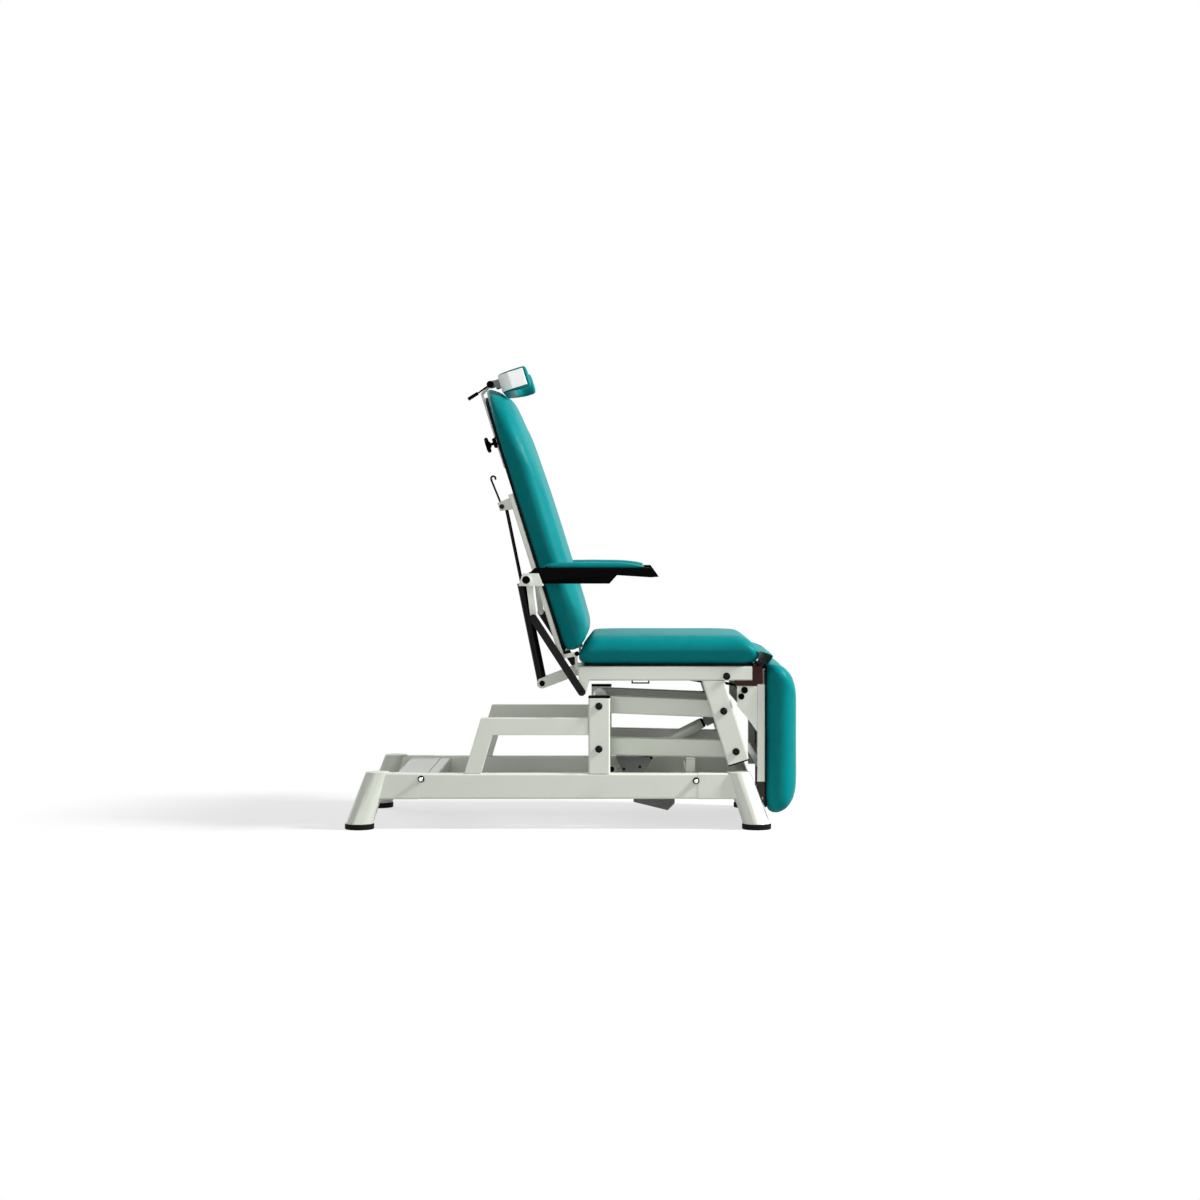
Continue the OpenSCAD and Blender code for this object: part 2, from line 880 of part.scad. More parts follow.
module upper_cross_tubes() {
    reach = up_front - lift_head;
    color(paint) {
        pivot_tube(up_rear, bolt_d / 2 + run_gap);
        pivot_tube(up_front, bolt_d / 2 + loose_gap);
        difference() {
            side_solid(-head_lug_t / 2, head_lug_t / 2) {
                translate(lift_head) circle(r = head_lug_r);
                translate(lift_head) rotate(atan2(reach[1], reach[0]))
                    translate([0, -head_lug_half]) square([norm(reach), 2 * head_lug_half]);
            }
            y_rod(up_front, cross_d / 2 - cross_wall / 2, -head_lug_t, head_lug_t);
        }
    }
}

// Lift actuator

module lift_motor() {
    color(grey) difference() {
        union() {
            side_solid(-gear_half, gear_half)
                polygon([
                    [gear_x[0], gear_top_z], [gear_x[1], gear_top_z],
                    [gear_low_x[1], gear_low_z], [gear_low_x[0], gear_low_z]
                ]);
            side_solid(-motor_half, motor_half)
                polygon([
                    [motor_x[0], motor_low_z + motor_rise],
                    [motor_x[0], gear_low_z - motor_chamfer[0]],
                    [motor_x[0] + motor_chamfer[0], gear_low_z],
                    [gear_low_x[1], gear_low_z],
                    [motor_x[1], gear_low_z - motor_chamfer[1]],
                    [motor_x[1], motor_low_z + motor_chamfer[1]],
                    [motor_x[1] - motor_chamfer[1], motor_low_z]
                ]);
        }
        along(lift_foot, lift_head)
            translate([0, 0, -lift_eye_r]) cylinder(d = lift_tube_d, h = lift_tube_len);
        y_rod(lift_foot, lift_eye_r + gap, -motor_half - over, motor_half + over);
    }
}

module lift_tube() {
    color(paint) difference() {
        union() {
            along(lift_foot, lift_head) cylinder(d = lift_tube_d, h = lift_tube_len);
            y_rod(lift_foot, lift_eye_r, -lift_tube_d / 2, lift_tube_d / 2);
        }
        along(lift_foot, lift_head) {
            translate([0, 0, lift_eye_r + lift_guide_len])
                cylinder(d = lift_tube_d - 2 * lift_tube_wall,
                         h = lift_tube_len - lift_eye_r - 2 * lift_guide_len);
            translate([0, 0, lift_eye_r + lift_guide_len])
                cylinder(d = lift_rod_d + 2 * run_gap, h = lift_tube_len);
        }
        y_rod(lift_foot, lift_pin_d / 2 + run_gap, -lift_tube_d, lift_tube_d);
    }
}

module lift_rod() {
    reach = dist(lift_foot, lift_head);
    start = lift_tube_len - lift_rod_tuck - lift_guide_len;
    ear_y = head_lug_t / 2 + side_gap * 4;
    color(paint) along(lift_foot, lift_head) {
        translate([0, 0, start]) cylinder(d = lift_rod_d, h = reach - head_neck - start);
        difference() {
            translate([-head_ear_r, -ear_y - head_ear_t, reach - head_neck])
                cube([2 * head_ear_r, 2 * (ear_y + head_ear_t), head_neck]);
            translate([-head_ear_r - over, -ear_y, reach - head_neck + head_ear_t])
                cube([2 * (head_ear_r + over), 2 * ear_y, head_neck]);
        }
        translate([0, 0, reach]) rotate([90, 0, 0])
            for (side = [0, 1]) mirror([0, 0, side]) {
                translate([0, 0, ear_y]) cylinder(r = head_ear_r, h = head_ear_t);
                translate([0, 0, head_lug_t / 2 + gap])
                    cylinder(r = head_stub_r, h = ear_y - head_lug_t / 2 - gap);
            }
    }
}

// Carriage and seat frame

module carriage_legs() {
    up = [-sin(carriage_lean), cos(carriage_lean)];
    far = carriage_foot + (seat_z - carriage_foot[1]) / cos(carriage_lean) * up;
    y = seat_tube_y - seat_tube_w / 2;
    color(paint) two_sides() difference() {
        translate([0, y, 0]) along(carriage_foot, far)
            linear_extrude(dist(carriage_foot, far))
                tube_section(leg_tube_w, seat_tube_w, base_wall, corner_r);
        translate([carriage_foot[0] - seat_len, seat_tube_in - over, seat_tube_z])
            cube([2 * seat_len, seat_tube_w + 2 * over, seat_len]);
        for (p = [low_front, up_front])
            y_rod(p, bolt_d / 2 + run_gap, seat_tube_in - over, seat_tube_y + over);
    }
}

module carriage_leg_caps() {
    up = [-sin(carriage_lean), cos(carriage_lean)];
    y = seat_tube_y - seat_tube_w / 2;
    color(black) two_sides() translate([0, y, 0])
        along(carriage_foot, carriage_foot + up) {
            translate([0, 0, -carriage_cap_t]) linear_extrude(carriage_cap_t)
                round_rect(leg_tube_w, seat_tube_w, corner_r);
            linear_extrude(carriage_cap_t)
                round_rect(leg_tube_w - 2 * (base_wall + gap),
                           seat_tube_w - 2 * (base_wall + gap), corner_r - base_wall);
        }
}

// Ear that carries the back hinge, behind the seat cushion
module back_hinge_ear() {
    difference() {
        side_solid(hinge_plate_y, hinge_plate_y + hinge_plate_t) {
            translate(back_pivot) circle(r = hinge_r);
            polygon([
                [seat_rear_x + lug_r, seat_tube_z + hinge_ear_x],
                [seat_rear_x + lug_r, seat_z - gap],
                [seat_cushion_x - gap, seat_z - gap],
                [seat_cushion_x - gap, back_pivot[1] - hinge_r / 2],
                [back_pivot[0] - hinge_r * 0.9, back_pivot[1] - hinge_r / 3],
                [back_pivot[0] - hinge_ear_back, seat_z - hinge_ear_back]
            ]);
        }
        y_rod(back_pivot, hinge_pin_d / 2, hinge_plate_y - over,
              hinge_plate_y + hinge_plate_t + over);
    }
}

module seat_side_tubes() {
    color(paint) two_sides() {
        difference() {
            union() {
                tube_x(seat_rear_x, seat_front_x, seat_tube_y - seat_tube_w / 2,
                       seat_tube_z + seat_tube_h / 2, seat_tube_w, seat_tube_h,
                       frame_wall);
                side_solid(seat_tube_y - lug_t, seat_tube_y)
                    polygon([
                        [lug_x[0], seat_tube_z + corner_r],
                        [lug_x[0] - lug_r / 4, link_low[1] - lug_r / 2],
                        [link_low[0], link_low[1] - lug_r],
                        [link_low[0] + lug_r, link_low[1] - lug_r / 2],
                        [lug_x[1], seat_tube_z - corner_r],
                        [lug_x[1], seat_tube_z + corner_r]
                    ]);
            }
            y_rod(link_low, link_pin_d / 2, seat_tube_y - lug_t - over,
                  seat_tube_y + over);
            y_rod(seat_bolt, bolt_d / 2, seat_tube_y - frame_wall - over,
                  seat_tube_y + over);
        }
        back_hinge_ear();
    }
}

module seat_cross_tubes() {
    ear_x = seat_mid_x + seat_cross_w;
    color(paint) {
        tube_y(2 * seat_tube_in, seat_rear_x + frame_wall + seat_cross_w / 2,
               seat_tube_z + seat_tube_h / 2, seat_cross_w, seat_tube_h, frame_wall);
        tube_y(2 * seat_tube_in, seat_mid_x + seat_cross_w / 2,
               seat_tube_z + seat_tube_h / 2, seat_cross_w, seat_tube_h, frame_wall);
        tube_y(2 * seat_tube_in, seat_fore_x + seat_cross_w / 2,
               seat_z - seat_fore_h / 2, seat_cross_w, seat_fore_h, frame_wall);
        for (side = [0, 1]) mirror([0, side, 0])
            side_solid(leg_ear_y, leg_ear_y + leg_ear_t) {
                translate(leg_gas_rear) circle(r = leg_ear_half);
                polygon([
                    [ear_x, leg_gas_rear[1] - leg_ear_half * 1.4],
                    [ear_x, leg_gas_rear[1] + leg_ear_half * 1.4],
                    [leg_gas_rear[0], leg_gas_rear[1] + leg_ear_half],
                    [leg_gas_rear[0], leg_gas_rear[1] - leg_ear_half]
                ]);
            }
    }
}

module seat_front_blocks() {
    color(black) two_sides() difference() {
        side_solid(seat_tube_in, seat_tube_y) {
            polygon([
                [seat_front_x, seat_tube_z], [strip_x[0], seat_tube_z],
                [strip_x[0], strip_z], [strip_x[1], strip_z],
                [strip_x[1], block_low_z], [block_end_x, block_low_z],
                [block_end_x, leg_pivot[1] - leg_ear_r],
                [leg_pivot[0], leg_pivot[1] - leg_ear_r],
                [leg_pivot[0], seat_z - gap], [seat_front_x, seat_z - gap]
            ]);
            translate(leg_pivot) circle(r = leg_ear_r);
        }
        y_rod(leg_pivot, hinge_pin_d / 2 + run_gap, seat_tube_in - over,
              seat_tube_y + over);
    }
}

module seat_board() {
    color(black)
        translate([seat_cushion_x + seat_board_inset, -cushion_w / 2 + seat_board_inset,
                   seat_z])
            cube([seat_len - 3 * seat_board_inset, cushion_w - 2 * seat_board_inset,
                  board_t]);
}

module seat_cushion() {
    hinge_w = 3 * (hinge_plate_t + side_gap);
    color(vinyl) difference() {
        translate([seat_cushion_x, 0, seat_z + board_t])
            cushion(seat_len, cushion_w, seat_thick, seat_ring_shares,
                    seat_front_edge, seat_rear_edge, seat_side_edge,
                    seat_corner_r, seat_corner_r, side_pull);
        two_sides() translate([seat_cushion_x - over, hinge_plate_y - side_gap, seat_z])
            cube([back_pivot[0] + hinge_r + side_gap - seat_cushion_x + over,
                  hinge_w + side_gap, back_pivot[1] + hinge_r + side_gap - seat_z]);
    }
}

module wire_handle() {
    low = seat_tube_z - wire_drop;
    color(black) translate([0, -wire_y, 0]) {
        for (x = wire_x)
            translate([x, 0, low]) cylinder(d = wire_d, h = wire_drop);
        translate([wire_x[0] - wire_d / 2, 0, low]) rotate([0, 90, 0])
            cylinder(d = wire_d, h = wire_x[1] - wire_x[0] + wire_d);
    }
}

module carriage_bolts() {
    plate_out = spring_arm_y + spring_arm_t;
    pin_out = hinge_plate_y + 2 * hinge_plate_t + 2 * side_gap;
    color(black) {
        two_sides() {
            for (p = [low_front, up_front])
                side_bolt(p, seat_tube_y, cross_len / 2 - shank_in);
            side_bolt(seat_bolt, seat_tube_y, seat_tube_y - frame_wall);
            y_rod(back_pivot, hinge_pin_d / 2, hinge_plate_y - hinge_plate_t / 2, pin_out);
            y_rod(back_pivot, hinge_r, pin_out, pin_out + hinge_plate_t / 2);
            y_rod(leg_pivot, hinge_pin_d / 2, leg_plate_y - hinge_plate_t / 2, seat_tube_y);
            y_rod(leg_pivot, leg_ear_r, seat_tube_y, seat_tube_y + hinge_plate_t / 2);
            y_rod(link_low, link_pin_d / 2, seat_tube_y - lug_t, link_in + link_t);
            y_rod(link_low, link_head_r, link_in + link_t + gap,
                  link_in + link_t + gap + link_head_t);
            y_rod(link_low, link_pin_d / 2, link_in + link_t, link_in + link_t + gap);
            y_rod(gas_low, link_head_r, plate_out, plate_out + link_head_t);
        }
    }
}

// Two plates that reach back under the hinge to the gas spring's lower eye
module back_spring_arm() {
    reach = (seat_rear_x + frame_wall - gas_low[0]) / cos(spring_arm_rise);
    half = spring_arm_w / 2;
    color(paint) two_sides()
        difference() {
            side_solid(spring_arm_y, spring_arm_y + spring_arm_t)
                translate(gas_low) rotate(spring_arm_rise) {
                    circle(r = half);
                    translate([0, -half]) square([reach + half, spring_arm_w]);
                }
            translate([seat_rear_x + frame_wall, 0, seat_tube_z - seat_tube_h])
                cube([seat_tube_h, seat_tube_h, 3 * seat_tube_h]);
        }
}

// Backrest, in its own frame: X towards the sitter, Z up the back

module back_side_tubes() {
    n0 = back_rear - back_tube_t;
    pin = back_local(back_pivot);
    color(paint) in_back() two_sides() difference() {
        union() {
            translate([n0 + back_tube_t / 2, back_tube_y - back_tube_w / 2, back_tube_u[0]])
                linear_extrude(back_tube_u[1] - back_tube_u[0])
                    tube_section(back_tube_t, back_tube_w, frame_wall, frame_wall);
            side_solid(back_lug_y, back_lug_y + back_lug_t) {
                translate(arm_lug) circle(r = back_lug_r);
                translate(arm_lug - [0, back_lug_r])
                    square([n0 - arm_lug[0], 2 * back_lug_r]);
            }
            side_solid(hinge_plate_y + hinge_plate_t + side_gap,
                       hinge_plate_y + 2 * hinge_plate_t + side_gap) {
                translate(pin) circle(r = back_hinge_half);
                polygon([
                    [pin[0], pin[1] + back_hinge_half], [pin[0], pin[1] - back_hinge_half],
                    [n0, pin[1] - back_hinge_half * 0.2], [n0, back_tube_u[0] + back_hinge_half],
                    [back_rear, back_tube_u[0] + back_hinge_half / 2]
                ]);
            }
        }
        y_rod(arm_lug, arm_shaft_d / 2 + run_gap,
              back_lug_y - over, back_lug_y + back_lug_t + over);
        y_rod(pin, hinge_pin_d / 2 + run_gap, hinge_plate_y, back_tube_y + over);
    }
}

// A side-view point as [n, u] of the back frame
function back_local(p) = let (dx = p[0] - back_ref[0], dz = p[1] - back_ref[1]) [
    dx * cos(back_lean) + dz * sin(back_lean),
    dz * cos(back_lean) - dx * sin(back_lean)
];

module spring_bracket() {
    n0 = back_rear - back_tube_t;
    inner = back_tube_y - back_tube_w;
    color(paint) in_back() {
        translate([n0 + back_tube_t / 2, 0, (bracket_u[0] + bracket_u[1]) / 2])
            rotate([90, 0, 0]) linear_extrude(2 * inner, center = true)
                tube_section(back_tube_t, bracket_tube_h, frame_wall, frame_wall);
        difference() {
            two_sides() side_solid(bracket_y, bracket_y + bracket_t)
                polygon([
                    [n0, bracket_u[0]], [n0, bracket_u[1]],
                    [bracket_back, bracket_u[1] - bracket_t],
                    [bracket_back, bracket_u[0] + 2 * bracket_t]
                ]);
            y_rod(lever_at, lever_d / 2 + run_gap, -bracket_y - bracket_t - over,
                  bracket_y + bracket_t + over);
        }
        y_rod(gas_top, gas_pin_d / 2, -bracket_y, bracket_y);
    }
}

module back_board() {
    color(black) in_back()
        translate([back_rear + board_t, 0, back_cushion_u])
            rotate([0, -90, 0]) linear_extrude(board_t) back_plan(back_board_inset);
}

// Plan of the back board: wide round shoulders and small lower corners
module back_plan(inset) {
    half = cushion_w / 2 - inset;
    low = inset;
    high = back_len - inset;
    r = back_corner_r - inset;
    translate([low, -half + back_low_corner_r])
        square([high - r - low, 2 * (half - back_low_corner_r)]);
    translate([low + back_low_corner_r, -half])
        square([high - r - low - back_low_corner_r, 2 * half]);
    translate([high - r, -half + r]) square([r, 2 * (half - r)]);
    for (side = [-1, 1]) {
        translate([high - r, side * (half - r)]) circle(r = r, $fn = 64);
        translate([low + back_low_corner_r, side * (half - back_low_corner_r)])
            circle(r = back_low_corner_r);
    }
}

module back_cushion() {
    color(vinyl) in_back()
        translate([back_rear + board_t, 0, back_cushion_u])
            rotate([0, 90, 0]) mirror([1, 0, 0])
                cushion(back_len, cushion_w, back_thick, back_ring_shares,
                        back_top_edge, back_low_edge, back_side_edge,
                        back_corner_r, back_low_corner_r, side_pull);
}

module headrest_guide() {
    color(black) in_back() difference() {
        side_solid(-guide_w / 2, guide_w / 2)
            polygon([
                [back_rear, guide_u[0]], [back_rear, guide_u[1]],
                [guide_rear, guide_u[1] - bar_t], [guide_rear, guide_u[0] + bar_t]
            ]);
        translate([bar_rear - gap, -bar_w / 2 - gap, guide_u[0] - over])
            cube([bar_t + 2 * gap, bar_w + 2 * gap, guide_u[1] - guide_u[0] + 2 * over]);
        translate([guide_rear - over, 0, (guide_u[0] + guide_u[1]) / 2])
            rotate([0, 90, 0])
                cylinder(d = screw_d + 2 * run_gap, h = bar_rear - guide_rear + over);
    }
}

// Gas spring of the back

module back_spring_rod() {
    top = back_point(gas_top[0], gas_top[1]);
    start = gas_cyl_start + gas_cyl_len - gas_guide - gas_tuck;
    color(black) along(gas_low, top) difference() {
        union() {
            translate([0, 0, start])
                cylinder(d = gas_rod_d, h = dist(gas_low, top) - start);
            translate([0, 0, dist(gas_low, top)]) rotate([90, 0, 0])
                cylinder(r = gas_eye_r, h = gas_eye_t, center = true);
        }
        translate([0, 0, dist(gas_low, top)]) rotate([90, 0, 0])
            cylinder(d = gas_pin_d + 2 * run_gap, h = gas_eye_t + 2 * over, center = true);
    }
}

module back_spring_cylinder() {
    top = back_point(gas_top[0], gas_top[1]);
    color(black) {
        along(gas_low, top) difference() {
            translate([0, 0, gas_cyl_start / 4])
                cylinder(d = gas_d, h = gas_cyl_len + gas_cyl_start * 3 / 4);
            translate([0, 0, gas_cyl_start + gas_wall])
                cylinder(d = gas_d - 2 * gas_wall, h = gas_cyl_len - gas_guide - gas_wall);
            translate([0, 0, gas_cyl_start + gas_wall])
                cylinder(d = gas_rod_d + 2 * run_gap, h = gas_cyl_len);
        }
        y_rod(gas_low, gas_eye_r, -gas_eye_t / 2, gas_eye_t / 2);
        y_rod(gas_low, gas_pin_d / 2, -spring_arm_y + gap, spring_arm_y - gap);
    }
}

module release_lever() {
    color(black) in_back() {
        y_rod(lever_at, lever_d / 2, -bracket_y - bracket_t, bracket_y + bracket_t);
        two_sides() y_rod(lever_at, lever_hub_r, bracket_y + bracket_t + gap,
                          bracket_y + 2 * bracket_t);
        two_sides() y_rod(lever_at, lever_d / 2, bracket_y + bracket_t,
                          bracket_y + bracket_t + gap);
        along(lever_at, lever_end)
            cylinder(d = lever_rod_d, h = dist(lever_at, lever_end));
        y_rod(lever_end, lever_d / 2, -lever_grip_w / 2, lever_grip_w / 2);
    }
}

// Head cradle and its post

module headrest_bar() {
    half = bar_t / 2;
    slope = atan2(tilt_at[1] - bar_bend_u, tilt_at[0] - bar_rear - half);
    mitre = half * (1 - sin(slope)) / cos(slope);
    side = half * [-sin(slope), cos(slope)];
    color(paint) in_back() difference() {
        side_solid(-bar_w / 2, bar_w / 2) {
            polygon([
                [bar_rear, bar_low_u], [bar_rear + bar_t, bar_low_u],
                [bar_rear + bar_t, bar_bend_u - mitre], tilt_at - side, tilt_at + side,
                [bar_rear, bar_bend_u + mitre]
            ]);
            translate(tilt_at) circle(r = tilt_r);
        }
        y_rod(tilt_at, tilt_pin_d / 2 + run_gap, -bar_w, bar_w);
    }
}

module headrest_knob() {
    mid_u = (guide_u[0] + guide_u[1]) / 2;
    color(black) in_back() translate([0, 0, mid_u]) rotate([0, 90, 0]) {
        translate([0, 0, knob_back - knob_t]) {
            cylinder(r = knob_r, h = knob_t);
            for (i = [0 : knob_lobes - 1]) rotate(i * 360 / knob_lobes)
                translate([knob_r, 0, 0]) cylinder(r = knob_lobe_r, h = knob_t);
        }
        translate([0, 0, knob_back])
            cylinder(r = knob_boss_r, h = guide_rear - gap - knob_back);
        translate([0, 0, guide_rear - gap])
            cylinder(d = screw_d, h = bar_rear - guide_rear);
    }
}

module headrest_block() {
    ear_in = bar_w / 2 + side_gap;
    color(grey) in_back() {
        side_solid(-ear_in - block_ear_t, ear_in + block_ear_t)
            polygon([
                [block_back, block_u[0]], [cradle_back, block_u[0]],
                [cradle_back, block_u[1]], [block_back, block_u[1]]
            ]);
        two_sides() side_solid(ear_in, ear_in + block_ear_t) {
            translate(tilt_at) circle(r = block_ear_r);
            translate(tilt_at - [0, block_ear_r])
                square([block_back - tilt_at[0], 2 * block_ear_r]);
        }
        y_rod(tilt_at, tilt_pin_d / 2, -ear_in, ear_in);
    }
}

// Plan of the cradle's shell in n and Y: a U with round corners
module cradle_plan(inset, reach) {
    half = cradle_w / 2 - inset;
    r = cradle_r - inset;
    n0 = cradle_back + inset;
    translate([n0 + r, -half]) square([cradle_back + reach - n0 - r, 2 * half]);
    translate([n0, -half + r]) square([r + over, 2 * (half - r)]);
    for (side = [-1, 1]) translate([n0 + r, side * (half - r)]) circle(r = r);
}

module headrest_shell() {
    color(paint) in_back() translate([0, 0, cradle_u]) linear_extrude(cradle_h)
        difference() {
            cradle_plan(0, cradle_depth);
            cradle_plan(cradle_shell_t, cradle_depth + over);
        }
}

// Path of the padding in n and Y, and one section across it
cradle_arc_steps = 6;
cradle_leg_steps = 5;
cradle_back_steps = 6;
pad_section_shares = [
    [-0.50, -0.37], [-0.65, -0.38], [-0.62, -0.46], [-0.46, -0.50], [0.00, -0.50],
    [0.34, -0.45], [0.50, -0.28], [0.55, 0.00], [0.50, 0.28], [0.34, 0.45],
    [0.00, 0.50], [-0.46, 0.50], [-0.62, 0.48], [-0.65, 0.44], [-0.50, 0.43]
];
pad_back_share = 0.10;

function cradle_path() = let (
    mid = cradle_shell_t + cradle_pad_gap + cradle_pad_t / 2,
    half = cradle_w / 2 - mid,
    r = cradle_r,
    n0 = cradle_back + mid,
    end = cradle_back + cradle_depth + gap,
    nose = end + cradle_pad_front
) concat(
    [[nose, -half, 180], [nose - cradle_pad_front / 3, -half, 180],
     [end + gap, -half, 180]],
    [for (i = [0 : cradle_leg_steps]) let (t = i / cradle_leg_steps)
        [end + (n0 + r - end) * t, -half, 180]],
    [for (i = [1 : cradle_arc_steps]) let (a = 90 * i / cradle_arc_steps)
        [n0 + r - r * sin(a), -half + r - r * cos(a), 180 - a]],
    [for (i = [1 : cradle_back_steps - 1]) let (t = i / cradle_back_steps)
        [n0, (half - r) * (2 * t - 1), 90]],
    [for (i = [0 : cradle_arc_steps - 1]) let (a = 90 * i / cradle_arc_steps)
        [n0 + r - r * cos(a), half - r + r * sin(a), 90 - a]],
    [for (i = [0 : cradle_leg_steps]) let (t = i / cradle_leg_steps)
        [n0 + r + (end - n0 - r) * t, half, 0]],
    [[end + gap, half, 0], [nose - cradle_pad_front / 3, half, 0],
     [nose, half, 0]]
);

module headrest_padding() {
    path = cradle_path();
    m = len(path);
    q = len(pad_section_shares);
    from_end = function(i) min(i, m - 1 - i);
    taper = function(i) from_end(i) == 0 ? 0.62 : (from_end(i) == 1 ? 0.92 : 1);
    points = concat(
        [for (i = [0 : m - 1], j = [0 : q - 1])
            let (
                p = path[i],
                s = pad_section_shares[j],
                out = from_end(i) < 3 && s[0] == -0.5 ? -0.65 : s[0],
                low = max(s[1], pad_back_share * sin(p[2]) - 0.5),
                across = out * cradle_pad_t * taper(i),
                up = low * cradle_pad_h * taper(i)
            )
            [p[0] + across * sin(p[2]), p[1] - across * cos(p[2]), up]],
        [[path[0][0], path[0][1], 0], [path[m - 1][0], path[m - 1][1], 0]]
    );
    walls = [
        for (i = [0 : m - 2], j = [0 : q - 1], half = [0, 1])
            let (a = i * q + j, b = i * q + (j + 1) % q)
            half == 0 ? [a, b, b + q] : [a, b + q, a + q]
    ];
    ends = [
        for (j = [0 : q - 1], end = [0, 1])
            let (k = (j + 1) % q, o = (m - 1) * q)
            end == 0 ? [k, j, m * q] : [o + j, o + k, m * q + 1]
    ];
    color(vinyl) in_back()
        translate([0, 0, cradle_u + cradle_h / 2 - cradle_pad_drop])
        polyhedron(points = points, faces = concat(walls, ends), convexity = 6);
}

module headrest_lever() {
    ear_out = bar_w / 2 + side_gap + block_ear_t + gap;
    color(black) in_back() {
        y_rod(tilt_at, clamp_hub_r, -ear_out - clamp_hub_t, -ear_out);
        translate([0, -ear_out - clamp_hub_t / 2, 0]) {
            along(tilt_at, clamp_mid)
                cylinder(d = clamp_rod_d, h = dist(tilt_at, clamp_mid) + clamp_rod_d);
            along(clamp_mid, clamp_end)
                cylinder(d = clamp_grip_d, h = dist(clamp_mid, clamp_end));
        }
    }
}

// Armrests: side is -1 on the sitter's right and 1 on the left

module drop_arm(side) {
    color(paint) on_side(side) {
        side_solid(drop_in, drop_in + drop_t) {
            for (p = [arm_pivot, link_top]) translate(p) circle(r = drop_w / 2);
            translate(arm_pivot)
                rotate(atan2(link_top[1] - arm_pivot[1], link_top[0] - arm_pivot[0]))
                    translate([0, -drop_w / 2])
                        square([dist(arm_pivot, link_top), drop_w]);
            translate([peg_x, cheek_z[0] - peg_drop]) circle(r = peg_r);
        }
        y_rod(arm_pivot, arm_shaft_d / 2, back_lug_y, drop_in);
        y_rod(arm_pivot, arm_shaft_d / 2, drop_in + drop_t, bracket_in);
        y_rod([peg_x, cheek_z[0] - peg_drop], peg_r, drop_in + drop_t, peg_out);
        y_rod(link_top, link_pin_d / 2, drop_in + drop_t, link_in + link_t + gap);
        y_rod(link_top, link_head_r, link_in + link_t + gap,
              link_in + link_t + gap + link_head_t);
    }
}

module armrest_bracket(side) {
    out = bracket_in + 2 * (cheek_t + cheek_gap) + armrest_w;
    color(paint) on_side(side) {
        for (y = [bracket_in, out - cheek_t])
            side_solid(y, y + cheek_t)
                polygon([
                    [cheek_x[0], cheek_z[0]], [cheek_x[1], cheek_z[0]],
                    [cheek_top_x[1], cheek_z[1]], [cheek_top_x[0], cheek_z[1]]
                ]);
        side_solid(bracket_in + cheek_t, out - cheek_t)
            polygon([
                [cheek_x[0], cheek_z[0]], [cheek_x[1], cheek_z[0]],
                [cheek_x[1], armrest_low_z - gap], [cheek_x[0], armrest_low_z - gap]
            ]);
        y_rod(arm_pivot, arm_pin_d / 2, bracket_in + cheek_t, out - cheek_t);
        y_rod(arm_pivot, arm_cap_r, out, out + arm_cap_t);
    }
}

module armrest_body(side) {
    in = bracket_in + cheek_t + cheek_gap;
    color(black) on_side(side) difference() {
        side_solid(in, in + armrest_w) {
            polygon([
                armrest_rear, [armrest_back_x, armrest_top_z],
                [armrest_tip_x, armrest_top_z], armrest_nose, armrest_lip,
                armrest_step, [armrest_step_x, armrest_low_z],
                [armrest_root_x, armrest_low_z], [armrest_root_x, armrest_rear[1]]
            ]);
            translate(arm_pivot) circle(r = armrest_boss_r);
        }
        y_rod(arm_pivot, arm_pin_d / 2 + run_gap, in - over, in + armrest_w + over);
    }
}

module armrest_pad(side) {
    in = bracket_in + cheek_t + cheek_gap;
    color(vinyl) on_side(side)
        translate([arm_pad_x, in + armrest_w / 2, armrest_top_z])
            cushion(pad_len, armrest_w + 2 * arm_pad_proud, pad_thick, pad_ring_shares,
                    pad_front_edge, pad_rear_edge, pad_side_edge,
                    pad_corner_r, pad_corner_r, 0);
}

module level_link(side) {
    color(black) on_side(side) difference() {
        side_solid(link_in, link_in + link_t) {
            for (p = [link_low, link_top]) translate(p) circle(r = link_w / 2);
            translate(link_low)
                rotate(atan2(link_top[1] - link_low[1], link_top[0] - link_low[0]))
                    translate([0, -link_w / 2])
                        square([dist(link_low, link_top), link_w]);
        }
        for (p = [link_low, link_top])
            y_rod(p, link_pin_d / 2 + run_gap, link_in - over, link_in + link_t + over);
    }
}

// Leg rest, hanging in front of the seat

module gusset_outline() {
    difference() {
        polygon([
            [leg_tube_x, gusset_z[1]], [gusset_x, gusset_z[1]], [gusset_x, gusset_z[0]],
            gusset_step, [leg_tube_x, gusset_low_z]
        ]);
        translate([gusset_step[0] - gusset_round / 3, gusset_low_z + gusset_round / 4])
            circle(r = gusset_round);
    }
}

module leg_side_tubes() {
    color(paint) two_sides() difference() {
        union() {
            translate([leg_tube_x + leg_tube_t / 2, leg_frame_out - leg_frame_w / 2,
                       leg_tube_z[0]])
                linear_extrude(leg_tube_z[1] - leg_tube_z[0])
                    tube_section(leg_tube_t, leg_frame_w, frame_wall, frame_wall);
            side_solid(leg_frame_out - gusset_t, leg_frame_out) gusset_outline();
            side_solid(leg_plate_y, leg_plate_y + hinge_plate_t) {
                translate(leg_pivot) circle(r = leg_ear_r);
                translate([leg_pivot[0] - leg_ear_r, leg_tube_z[1] - leg_frame_w])
                    square([leg_board_x - gap - leg_pivot[0] + leg_ear_r,
                            leg_pivot[1] - leg_tube_z[1] + leg_frame_w]);
            }
            side_solid(leg_plate_y, leg_frame_out - leg_frame_w + frame_wall)
                translate([leg_tube_x, leg_tube_z[1] - leg_frame_w])
                    square([leg_tube_t, leg_frame_w / 2]);
        }
        y_rod(leg_pivot, hinge_pin_d / 2 + run_gap, leg_plate_y - over,
              leg_plate_y + hinge_plate_t + over);
    }
}

